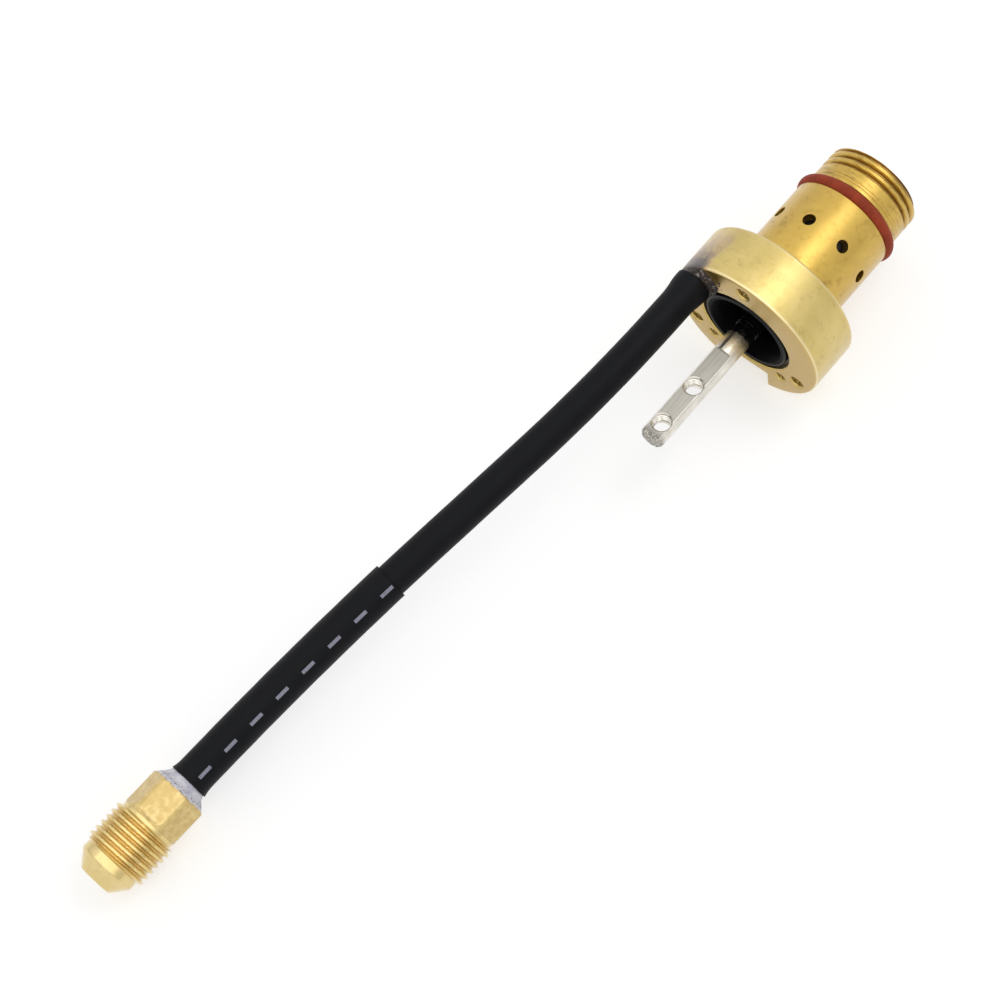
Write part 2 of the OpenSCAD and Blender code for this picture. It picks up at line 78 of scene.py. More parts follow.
def length(name, description, default):
    """Length property whose default is given in millimetres."""
    return FloatProperty(name=name, description=description, default=default * MM, min=0, unit="LENGTH")


def angle(name, description, default):
    """Angle property whose default is given in degrees."""
    return FloatProperty(name=name, description=description, default=np.radians(default), subtype="ANGLE")


def shade(red, green, blue):
    """Linear colour of a display colour: a channel c becomes ((c / 255 + 0.055) / 1.055) to the power 2.4."""
    return tuple(((np.array([red, green, blue]) / 255 + 0.055) / 1.055) ** 2.4)


def colour(name, description, default):
    """Colour property whose default is given as display values from 0 to 255."""
    return FloatVectorProperty(
        name=name, description=description, default=shade(*default), subtype="COLOR", min=0, max=1
    )


class TorchHeadSizes(bpy.types.PropertyGroup):
    flange_d: length("Flange", "Outside diameter of the flange", 40)
    flange_t: length("Flange thickness", "Thickness of the flange", 13.2)
    rim: length("Flange edge", "Rounding of the flange's edges", 0.6)
    rear_bore_d: length("Rear bore", "Diameter of the bore in the rear face", 24.3)
    rear_bore_depth: length("Rear bore depth", "Depth of the rear bore", 7.2)
    notch_w: length("Notch width", "Width of the notch in the rim", 11.5)
    notch_floor: length("Notch floor", "Distance from the torch axis to the notch's floor", 13.6)
    mount_pcd: length("Mounting circle", "Pitch circle of the mounting holes", 33)
    mount_hole_d: length("Mounting hole", "Bore of the mounting holes' threads", 3.3)
    mount_pitch: length("Mounting thread", "Pitch of the mounting holes' threads", 0.7)
    mount_depth: length("Mounting hole depth", "Depth of the mounting holes", 9)
    cover_pcd: length("Cover circle", "Pitch circle of the cover screw holes", 29.1)
    cover_angle: angle("Cover hole angle", "Angle of the cover screw holes from the notch", 41.4)
    cover_hole_d: length("Cover screw hole", "Bore of the cover screw holes' threads", 2.5)
    cover_pitch: length("Cover thread", "Pitch of the cover screw holes' threads", 0.5)
    cover_depth: length("Cover hole depth", "Depth of the cover screw holes", 7)
    spring_ring_x: length("Ring groove place", "Where the spring ring's groove begins", 1.5)
    spring_ring_w: length("Ring groove", "Width of the spring ring's groove", 1.1)
    spring_ring_bite: length("Ring groove depth", "Depth of the spring ring's groove", 0.65)
    barrel_d: length("Barrel", "Outside diameter of the barrel", 25.3)
    shoulder_x: length("Shoulder", "Distance of the O-ring shoulder from the rear face", 35.4)
    nose_x: length("Nose", "Distance of the nose's end from the rear face", 47.8)
    neck_d: length("Neck", "Diameter of the neck and the nose thread", 23.8)
    nose_pitch: length("Nose pitch", "Pitch of the nose thread", 2)
    nose_thread_depth: length("Nose thread depth", "Depth of the nose thread", 0.85)
    nose_lead: length("Nose thread place", "Where a groove of the nose thread crosses the +Y side", 42.667)
    nose_run_in: length("Nose thread start", "Where the nose thread begins to cut into the neck", 42.0)
    barrel_bore_d: length("Barrel bore", "Diameter of the barrel's long bore", 20.4)
    bore_step_x: length("Bore step", "Where the long bore steps down to the nose bore", 33)
    nose_bore_d: length("Nose bore", "Diameter of the nose bore", 18.6)
    gas_hole_d: length("Gas hole", "Diameter of a gas hole", 3)
    gas_hole_x: length("Gas hole place", "Distance of the gas holes from the rear face", 25.8)
    gas_hole_phase: angle("First gas hole", "Angle of the first gas hole", 37.5)
    gas_hole_count: IntProperty(name="Gas holes", description="Gas holes round the barrel", default=8, min=1)
    gas_port_d: length("Gas port", "Diameter of the port between the tube's seat and the barrel", 2.5)
    gas_port_x: length("Gas port place", "Distance of the gas port from the rear face", 9.3)
    ring_cord: length("Nose O-ring cord", "Cord diameter of the nose O-ring", 2.6)
    ring_stand: length("O-ring stand", "Height of the nose O-ring above the barrel", 0.75)
    ring_room: length("O-ring room", "Room along the groove beside the O-ring", 0.4)


class TorchCoreSizes(bpy.types.PropertyGroup):
    lip_d: length("Cup lip", "Outside diameter of the cup's lip", 22.6)
    mouth_d: length("Cup mouth", "Diameter of the cup's mouth", 19.9)
    lip_x: length("Lip setback", "Distance of the cup's lip from the rear face", 0.1)
    shoulder_x: length("Cup shoulder", "Distance of the cup's shoulder from the rear face", 2.6)
    tube_d: length("Insulator tube", "Outside diameter of the insulators' long tubes", 18.4)
    recess_d: length("Cup recess", "Diameter of the cup's deep recess", 15.2)
    taper_l: length("Mouth taper", "Length of the taper in the cup's mouth", 4)
    floor_x: length("Cup floor", "Distance of the cup's floor from the rear face", 16)
    floor_t: length("Cup floor thickness", "Thickness of the cup's floor", 3)
    collar_t: length("Collar", "Length of the front insulator's collar", 4)
    front_end_x: length("Front insulator end", "Where the front insulator ends", 43.6)
    front_bore_d: length("Front insulator bore", "Bore of the front insulator", 12.2)
    seal_cord: length("Seal cord", "Cord diameter of the insulators' seals", 1.78)
    cup_seal_x: length("Cup seal", "Distance of the cup's seal from the rear face", 4.9)
    cathode_end_x: length("Cathode end", "Where the cathode body ends", 41.6)
    cathode_seal_cord: length("Cathode seal cord", "Cord diameter of the cathode body's seals", 1.45)
    cathode_seal_inset: length("Cathode seal inset", "Distance of a seal from the cathode body's end", 3.6)
    socket_d: length("Electrode socket", "Bore of the electrode socket's thread", 6)
    socket_pitch: length("Socket thread", "Pitch of the electrode socket's thread", 1)
    socket_depth: length("Socket depth", "Depth of the electrode socket", 11)
    stem_seat_l: length("Stem seat", "Depth of the stem's seat in the cathode body", 8.6)
    slip: length("Slip", "Clearance on the radius of pieces that slide together", 0.05)
    fit: length("Fit", "Clearance on the radius of pressed and brazed pieces", 0.02)


class TorchStemSizes(bpy.types.PropertyGroup):
    stem_d: length("Terminal", "Diameter of the terminal stem", 5.9)
    reach: length("Reach", "Distance that the stem stands out behind the flange", 34)
    tip_edge: length("Tip edge", "Chamfer on the stem's tip", 0.6)
    flat_start: length("Flat start", "Distance behind the flange where the flat begins", 7.8)
    flat_height: length("Flat height", "Height of the flat above the stem's axis", 2)
    flat_angle: angle("Flat angle", "Direction that the flat faces", 90)
    hole_d: length("Cross hole", "Bore of the cross holes' threads", 4.2)
    hole_pitch: length("Cross hole thread", "Pitch of the cross holes' threads", 0.8)
    hole_x: length("Cross hole place", "Distance of the first cross hole behind the flange", 18.4)
    hole_gap: length("Cross hole gap", "Distance between the cross holes", 11.3)
    thread_d: length("Inner end", "Diameter of the stem's threaded end", 5)
    inner_end_x: length("Inner end place", "Where the stem's inner end lies", 27.2)
    sleeve_start: length("Sleeve start", "Distance behind the flange where the sleeve begins", 2.3)
    sleeve_end_x: length("Sleeve end", "Where the stem's sleeve ends inside the cup", 10.4)
    sleeve_rib: length("Sleeve rib", "Height of the ribs on the stem's sleeve", 0.25)
    nut_af: length("Stem nut", "Width of the stem nut across its flats", 8)
    nut_t: length("Stem nut thickness", "Thickness of the stem nut", 4)
    washer_t: length("Washer thickness", "Thickness of the stem washer", 1.2)


class TorchTubeSizes(bpy.types.PropertyGroup):
    tube_d: length("Tube", "Outside diameter of the copper tube", 6)
    seat_r: length("Tube seat", "Radius at which the tube enters the flange", 16.7)
    seat_angle: angle("Tube seat angle", "Angle at which the tube enters the flange", 41)
    seat_depth: length("Tube seat depth", "Depth of the tube's seat in the flange", 11.4)
    bend_plane: angle("Bend direction", "Direction in which the tube's S-bend swings", -47.8)
    lead_l: length("Lead", "Straight length between the flange and the first bend", 12)
    bend_1_r: length("First bend radius", "Radius of the first bend", 152)
    bend_1_angle: angle("First bend", "Angle of the first bend", 16.7)
    middle_l: length("Middle", "Straight length between the bends", 28)
    bend_2_r: length("Second bend radius", "Radius of the second bend", 350)
    bend_2_angle: angle("Second bend", "Angle of the second bend", 11.9)
    end_l: length("End", "Straight length from the second bend to the fitting's front", 30.5)
    inner_wall: length("Inner sleeve wall", "Wall of the inner heat-shrink sleeve", 0.85)
    outer_wall: length("Outer sleeve wall", "Wall of the outer heat-shrink sleeve", 0.5)
    outer_l: length("Outer sleeve length", "Length of the outer heat-shrink sleeve", 62)
    sleeve_start: length("Sleeve start", "Distance behind the flange where the inner sleeve begins", 1.6)
    bulge_d: length("Bulge", "Outside diameter of the sleeve's bulge over the braze", 8.8)
    bulge_flat_l: length("Bulge length", "Length of the bulge's even part", 2.4)
    bulge_taper_l: length("Bulge taper", "Length over which the bulge runs out", 3)
    mouth_swell: length("Mouth swell", "Swelling of the outer sleeve's mouth", 0.35)
    braze_foot_r: length("Braze foot", "Radius of the braze on the flange's face", 4.3)
    print_turn: angle("Print direction", "Where round the outer sleeve its dashes are printed", 184)
    slip: length("Slip", "Clearance on the radius of pieces that slide together", 0.05)


class TorchFittingSizes(bpy.types.PropertyGroup):
    thread_d: length("Fitting thread", "Major diameter of the fitting's thread", 16)
    pitch: length("Fitting pitch", "Pitch of the fitting's thread", 1.6)
    turns: IntProperty(name="Turns", description="Thread crests along the fitting", default=6, min=1)
    front_d: length("Flare front", "Diameter of the flat front of the flare", 8)
    flare_l: length("Flare", "Length of the flare's cone", 3.6)
    land_d: length("Land", "Diameter of the land behind the flare", 13.9)
    land_l: length("Land length", "Length of the land", 2)
    relief_l: length("Relief", "Length of the relief between thread and hexagon", 1)
    hex_af: length("Hexagon", "Width of the hexagon across its flats", 12.7)
    hex_corner_d: length("Hexagon corners", "Diameter to which the hexagon's corners are turned", 14.1)
    hex_l: length("Hexagon length", "Length of the hexagon", 9.5)
    hex_run_out: length("Hexagon run-out", "Length over which the flats run out towards the thread", 1.7)
    hex_angle: angle("Hexagon angle", "Angle of the hexagon about the fitting's axis", 57.8)
    hex_edge: length("Hexagon edge", "Chamfer on the hexagon's rear edge", 0.9)
    bore_d: length("Fitting bore", "Bore of the fitting", 4.4)
    socket_l: length("Tube socket", "Depth of the tube's socket in the fitting", 9.6)
    collar_l: length("Braze collar", "Length of the braze collar behind the hexagon", 2.4)
    collar_waist: length("Collar waist", "How far the braze collar draws in at its middle", 1.2)


class TorchColours(bpy.types.PropertyGroup):
    flange: colour("Flange brass", "Main colour of the flange", (209, 186, 112))
    barrel: colour("Barrel brass", "Main colour of the barrel", (201, 166, 72))
    fitting: colour("Fitting brass", "Main colour of the flare fitting", (219, 195, 130))
    stem: colour("Terminal plate", "Main colour of the terminal", (226, 222, 212))
    steel: colour("Steel", "Colour of the nut and washer", (170, 170, 168))
    copper: colour("Copper", "Colour of the tube", (196, 118, 84))
    red_seal: colour("Red seal", "Colour of the nose O-ring", (165, 68, 42))
    sleeve: colour("Sleeve", "Colour of the heat-shrink sleeves", (12, 13, 17))
    insulator: colour("Insulator", "Colour of the black insulators", (6, 6, 7))
    # painted shade: the front insulator is dark so that the gas holes in the barrel show dark
    moulding: colour("Front insulator", "Colour of the front insulator", (66, 64, 62))
    flux: colour("Flux", "Colour of the flux on the fitting's braze", (238, 236, 243))
    burnt: colour("Burnt braze", "Colour of the heat-blackened braze", (60, 50, 46))


GROUPS = {
    "torch_head": TorchHeadSizes,
    "torch_core": TorchCoreSizes,
    "torch_stem": TorchStemSizes,
    "torch_tube": TorchTubeSizes,
    "torch_fitting": TorchFittingSizes,
    "torch_colours": TorchColours,
}


class InMillimetres:
    """Reads a group's lengths in millimetres, and its angles, counts and colours as they are."""

    def __init__(self, group):
        self.group = group

    def __getattr__(self, name):
        value = getattr(self.group, name)
        return value / MM if self.group.bl_rna.properties[name].unit == "LENGTH" else value


def sizes(group):
    """The scene's values of a group."""
    return InMillimetres(getattr(bpy.context.scene, group))


# Surfaces


def smooth_step(value, low, high):
    """Ease from 0 at low to 1 at high: 3 t^2 - 2 t^3 of the clipped share t of the way between them."""
    t = np.clip((value - low) / (high - low), 0, 1)
    return t * t * (3 - 2 * t)


def ripple(a, b, seed):
    """Soft unevenness between about -1 and 1: a sum of sine waves in a and b, whose directions, steepness
    and phases come from the seed, the finer waves being the weaker ones."""
    dice = np.random.default_rng(seed)
    waves, finer_by, weaker_by, usual_sum = 7, 1.6, 1.35, 0.6
    total, weight = 0.0, 0.0
    for k in range(waves):
        steep = finer_by**k * dice.uniform(0.7, 1.3)
        turn, phase = dice.uniform(0, TURN, 2)
        total = total + np.sin(steep * (a * np.cos(turn) + b * np.sin(turn)) + phase) / weaker_by**k
        weight += usual_sum / weaker_by**k
    return total / weight


def lumps(t, waviness, seed, a=0.0, b=0.0):
    """Ripple that closes up over a full turn of t: it reads t's cosine and sine, widened by the waviness and
    shifted by a and b."""
    return ripple(waviness * np.cos(t) + a, waviness * np.sin(t) + b, seed)


def softened(corners, steps=5):
    """Line with rounded corners: a corner (along, out, fillet) becomes a quadratic curve that leaves one
    side a fillet's length before the corner and joins the other side as far after it."""
    corners = np.asarray(corners, float)
    spots, fillets = corners[:, :2], corners[:, 2:]
    back, ahead = np.roll(spots, 1, 0) - spots, np.roll(spots, -1, 0) - spots
    enter = spots + back / np.linalg.norm(back, axis=1, keepdims=True) * fillets
    leave = spots + ahead / np.linalg.norm(ahead, axis=1, keepdims=True) * fillets
    t = np.linspace(0, 1, steps)[None, :, None]
    arc = enter[:, None] * (1 - t) ** 2 + spots[:, None] * 2 * t * (1 - t) + leave[:, None] * t**2
    keep = np.ones((len(spots), steps), bool)
    keep[:, 1:] = fillets > 0
    return arc[keep]


def finer(line, step, closed=False):
    """Line with points added evenly, so that no two neighbours are further apart than the step."""
    starts = line if closed else line[:-1]
    spans = (np.roll(line, -1, 0) if closed else line[1:]) - starts
    counts = np.maximum(1, np.ceil(np.linalg.norm(spans, axis=1) / step).astype(int))
    owner = np.repeat(np.arange(len(counts)), counts)
    share = (np.arange(counts.sum()) - np.repeat(np.cumsum(counts) - counts, counts)) / counts[owner]
    points = starts[owner] + spans[owner] * share[:, None]
    return points if closed else np.vstack([points, line[-1:]])


def finer_where(line, chosen, step):
    """Line with points added from its first chosen point to its last, and as it was elsewhere."""
    places = np.flatnonzero(chosen)
    first, last = places[0], places[-1] + 1
    return np.vstack([line[:first], finer(line[first:last], step), line[last:]])


def around(count):
    """Angles of a full turn as one row: so many equal steps from 0 on."""
    return np.arange(count)[None, :] * TURN / count


def spin(x, r, t):
    """Surface about X: a point at distance x along it, radius r and angle t goes to (x, r cos t, r sin t)."""
    x, r, t = np.broadcast_arrays(x, r, t)
    return np.stack([x, r * np.cos(t), r * np.sin(t)], axis=-1)


def turned(line, columns):
    """Surface about X of a line of distances along it and radii, carried round at even angles."""
    line = np.asarray(line, float)
    return spin(line[:, :1], line[:, 1:], around(columns))


def screw(x, t, pitch, depth, place, start=-1e3, fade=1.0, floor=0.125):
    """Depth below the crest of a right-handed V thread at distance x and angle t: the groove's centre
    advances a pitch a turn and crosses angle 0 at the given place, its flanks stand 60 degrees apart, its
    floor is a share of the pitch wide, and it deepens from nothing over a fade's length from the start."""
    turns = (x - place) / pitch - t / TURN
    nearest = np.round(turns)
    away = np.abs(turns - nearest) * pitch
    centre = (nearest + t / TURN) * pitch + place
    half = floor * pitch / 2 + depth * FLANK
    return np.clip((half - away) / FLANK, 0, depth) * smooth_step(centre, start, start + fade)


def hexagon(t, across, corner):
    """Radius of a hexagon at angle t: half its width divided by the cosine of the angle from the nearest
    flat's middle, with one corner at the given angle."""
    return across / 2 / np.cos((t - corner) % (TURN / 6) - TURN / 12)


def off_centre(t, middle):
    """How far angle t is turned past the middle, between minus and plus half a turn."""
    return (t - middle + TURN / 2) % TURN - TURN / 2


# Meshes


def signed_volume(points, faces):
    """Six times the volume that faces enclose: the sum of a . (b x c) over each face's fan of triangles."""
    a = points[faces[:, 0]]
    fans = [np.cross(points[faces[:, k]], points[faces[:, k + 1]]) for k in range(1, faces.shape[1] - 1)]
    return sum(np.einsum("ij,ij->", a, fan) for fan in fans)


def mesh_of(name, points, *faces):
    """Mesh in metres from points in millimetres, turned outwards where its volume comes out negative."""
    if sum(signed_volume(points, group) for group in faces) < 0:
        faces = [group[:, ::-1] for group in faces]
    mesh = bpy.data.meshes.new(name)
    mesh.from_pydata((points * MM).tolist(), [], [face for group in faces for face in group.tolist()])
    mesh.update()
    return mesh


def skin(name, grid, loop=False):
    """Closed mesh over a grid whose columns go round: its rows close up too where they are a loop, and
    otherwise a fan round its middle closes the first and the last row."""
    rows, columns = grid.shape[:2]
    points = grid.reshape(-1, 3)
    i, j = np.meshgrid(np.arange(rows if loop else rows - 1), np.arange(columns), indexing="ij")
    i2, j2 = (i + 1) % rows, (j + 1) % columns
    quads = np.stack([i * columns + j, i * columns + j2, i2 * columns + j2, i2 * columns + j], -1)
    if loop:
        return mesh_of(name, points, quads.reshape(-1, 4))
    points = np.vstack([points, grid[0].mean(0), grid[-1].mean(0)])
    j = np.arange(columns)
    j2, last = (j + 1) % columns, (rows - 1) * columns
    first_fan = np.stack([j2, j, np.full(columns, rows * columns)], -1)
    last_fan = np.stack([last + j, last + j2, np.full(columns, rows * columns + 1)], -1)
    return mesh_of(name, points, quads.reshape(-1, 4), np.vstack([first_fan, last_fan]))


def lathed(name, corners, columns):
    """Closed mesh turned about X from an outline of rounded corners."""
    return skin(name, turned(softened(corners), columns), loop=True)


def with_values(mesh, **values):
    """Gives each point of a mesh its own number under each name."""
    for name, numbers in values.items():
        mesh.attributes.new(name, "FLOAT", "POINT").data.foreach_set("value", np.ravel(numbers))


def gathered(name, meshes):
    """One mesh that holds several."""
    shells = bmesh.new()
    for mesh in meshes:
        shells.from_mesh(mesh)
    whole = bpy.data.meshes.new(name)
    shells.to_mesh(whole)
    shells.free()
    return whole


def carved(name, mesh, cutters):
    """Mesh with closed cutters taken out of it, one after another."""
    block, *tools = [bpy.data.objects.new(f"{name}_{k}", part) for k, part in enumerate([mesh, *cutters])]
    for thing in (block, *tools):
        bpy.context.scene.collection.objects.link(thing)
    for tool in tools:
        cut = block.modifiers.new("cut", "BOOLEAN")
        cut.operation, cut.solver, cut.object = "DIFFERENCE", "MANIFOLD", tool
    whole = block.evaluated_get(bpy.context.evaluated_depsgraph_get())
    result = bpy.data.meshes.new_from_object(whole)
    for thing in (block, *tools):
        bpy.data.objects.remove(thing)
    if not result.polygons:
        raise RuntimeError(f"{name} came out empty")
    result.name = name
    return result


def outward(turn, distance=1.0):
    """Point at an angle about the torch axis and a distance from it, in the plane of the rear face."""
    return distance * np.array([0, np.cos(turn), np.sin(turn)])


def axes_at(origin, axis, side):
    """Origin and three unit vectors at right angles: along the axis, out to the side, and their cross
    product."""
    axis, side = np.asarray(axis, float), np.asarray(side, float)
    axis = axis / np.linalg.norm(axis)
    side = side - axis * (side @ axis)
    side = side / np.linalg.norm(side)
    return np.asarray(origin, float), axis, side, np.cross(axis, side)


TORCH_AXES = axes_at((0, 0, 0), (1, 0, 0), (0, 1, 0))


def placed(grid, axes):
    """Grid drawn about X, moved so that its x runs along the axes' first vector and its y to their side."""
    origin, *vectors = axes
    return origin + grid @ np.array(vectors)


def tapped_cutter(name, axes, bore, pitch, depth, sink, plain=0.0, columns=48):
    """Cutter for a tapped hole, drawn along its axis from above the mouth at 0: a rod whose V ridges are the
    grooves between the threads, whose last stretch is plain, and whose mouth widens by as much as it is short
    of the countersink."""
    rows = 10  # to a pitch
    x = np.arange(-rows, depth / pitch * rows + 1)[:, None] * pitch / rows
    crest = 0.5 * pitch
    ridge = crest - screw(x, around(columns), pitch, crest, 0, floor=0.3)
    ridge = ridge * smooth_step(x, sink / 2, sink + pitch) * smooth_step(depth - x, plain, plain + pitch)
    r = bore / 2 + np.maximum(ridge, np.maximum(0, sink - x))
    return skin(name, placed(spin(x, r, around(columns)), axes))


def rod_cutter(name, axes, profile):
    """Round cutter along an axis, from a few pairs of distance and radius."""
    columns = 64
    return skin(name, placed(turned(profile, columns), axes))


def torus(name, x, ring_r, cord, squash=1.0):
    """Ring of round cord, slightly uneven as moulded: a circle of the cord's radius, stretched along the axis
    by the squash, is carried round a circle in the plane x."""
    a, t = around(28).T, around(160)
    uneven = 1 + 0.004 * lumps(t, 3, 4)
    along, r = x + cord / 2 * squash * np.sin(a), ring_r + cord / 2 * np.cos(a) * uneven
    return skin(name, spin(along, r, t), loop=True)


def piece(name, mesh, slot, material, *stands_for, sharp=30):
    """Object on the part's body, smooth except across edges sharper than so many degrees."""
    thing = bpy.data.objects.new(name, mesh)
    bpy.context.scene.collection.objects.link(thing)
    mesh.materials.clear()
    mesh.materials.append(material)
    mesh.shade_smooth()
    mesh.set_sharp_from_angle(angle=np.radians(sharp))
    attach(thing, "root")
    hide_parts(*stands_for)


def repaint(node, material):
    """Gives a CAD node's surface a new material."""
    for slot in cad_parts[node].material_slots:
        slot.material = material


# Route and fitting


def seat_axes():
    """Axes of the tube's seat, from the middle of its mouth into the flange."""
    tube = sizes("torch_tube")
    return axes_at(outward(tube.seat_angle, tube.seat_r), (1, 0, 0), (0, 1, 0))


def route(s):
    """Point, direction and two normals of the tube's middle line at lengths s from the flange's face: the
    heading turns evenly along each bend, and the point is the running sum of the heading's steps."""
    tube = sizes("torch_tube")
    spans = [tube.lead_l, tube.bend_1_r * tube.bend_1_angle, tube.middle_l, tube.bend_2_r * tube.bend_2_angle]
    marks = np.cumsum(spans)
    headings = [0, tube.bend_1_angle, tube.bend_1_angle, tube.bend_1_angle - tube.bend_2_angle]
    away, swing = np.array([-1.0, 0, 0]), outward(tube.bend_plane)
    seat = outward(tube.seat_angle, tube.seat_r)
    step = 0.02  # of the running sum
    stations = np.arange(0, marks[-1] + tube.end_l + 1, step)
    h = np.interp(stations + step / 2, marks, headings)[:, None]
    walked = np.vstack([seat, seat + np.cumsum((np.cos(h) * away + np.sin(h) * swing) * step, 0)[:-1]])
    s = np.asarray(s, float)
    point = np.stack([np.interp(s, stations, walked[:, k]) for k in range(3)], -1)
    point = point + np.minimum(s, 0)[..., None] * away
    h = np.interp(s, marks, headings)[..., None]
    heading, normal = np.cos(h) * away + np.sin(h) * swing, np.cos(h) * swing - np.sin(h) * away
    return point, heading, normal, np.cross(heading, normal)


def route_length():
    """Length of the tube's middle line from the flange's face to the fitting's front."""
    tube = sizes("torch_tube")
    bends = tube.bend_1_r * tube.bend_1_angle + tube.bend_2_r * tube.bend_2_angle
    return tube.lead_l + tube.middle_l + tube.end_l + bends


def swept(s, r, t):
    """Surface along the tube's route: the point at length s, plus r cos t of one normal and r sin t of the
    other."""
    point, _, normal, other = route(s)
    r, t = np.broadcast_arrays(r, t)
    return point + r[..., None] * (np.cos(t)[..., None] * normal + np.sin(t)[..., None] * other)


def fitting_axes():
    """Axes of the fitting: from the middle of its front back along the tube."""
    point, heading, normal, _ = route(route_length())
    return axes_at(point, -heading, normal)


def fitting_marks():
    """Distances from the fitting's front to the start of its thread and to the hexagon's two ends."""
    part = sizes("torch_fitting")
    thread_x = part.flare_l + part.land_l
    hex_x = thread_x + (part.turns + 0.5) * part.pitch + part.relief_l
    return thread_x, hex_x, hex_x + part.hex_l


# Finishes


class Wire:
    """Output of a node. Arithmetic on it adds Math nodes."""

    def __init__(self, paint, socket):
        self.paint, self.socket = paint, socket

    def maths(self, operation, *values):
        """Math node over the given values."""
        return self.paint.add("ShaderNodeMath", {"operation": operation}, dict(enumerate(values)))

    def __add__(self, other):
        return self.maths("ADD", self, other)

    def __sub__(self, other):
        return self.maths("SUBTRACT", self, other)

    def __rsub__(self, other):
        return self.maths("SUBTRACT", other, self)

    def __mul__(self, other):
        return self.maths("MULTIPLY", self, other)

    def __abs__(self):
        return self.maths("ABSOLUTE", self)

    __radd__ = __add__

    def between(self, low, high):
        """Eases from 0 at low to 1 at high; with high below low it eases the other way."""
        settings = {"interpolation_type": "SMOOTHSTEP"}
        if high < low:
            return 1 - self.between(high, low)
        return self.paint.add("ShaderNodeMapRange", settings, {0: self, 1: low, 2: high, 3: 0, 4: 1})


class Paint:
    """Nodes of one tree, each added by one call."""

    def __init__(self, tree):
        self.tree = tree

    def add(self, kind, settings=None, inputs=None, out=0):
        """Adds a node of a type, sets its settings, then feeds its sockets with numbers, colours or wires."""
        node = self.tree.nodes.new(kind)
        for name, value in (settings or {}).items():
            setattr(node, name, value)
        for name, value in (inputs or {}).items():
            self.feed(node.inputs[name], value)
        return Wire(self, node.outputs[out])

    def feed(self, socket, value):
        """Links a wire to a socket, or gives the socket a number, a colour or a vector."""
        if isinstance(value, Wire):
            self.tree.links.new(value.socket, socket)
        elif socket.type == "RGBA" and len(value) == 3:
            socket.default_value = (*value, 1.0)
        else:
            socket.default_value = value

    def vector(self, operation, *values, out=0, **named):
        """Vector Math node over the given values."""
        inputs = {**dict(enumerate(values)), **named}
        return self.add("ShaderNodeVectorMath", {"operation": operation}, inputs, out)

    def mix(self, share, first, second):
        """Colour that goes from the first to the second as the share goes from 0 to 1."""
        return self.add("ShaderNodeMix", {"data_type": "RGBA"}, {0: share, 6: first, 7: second}, out=2)


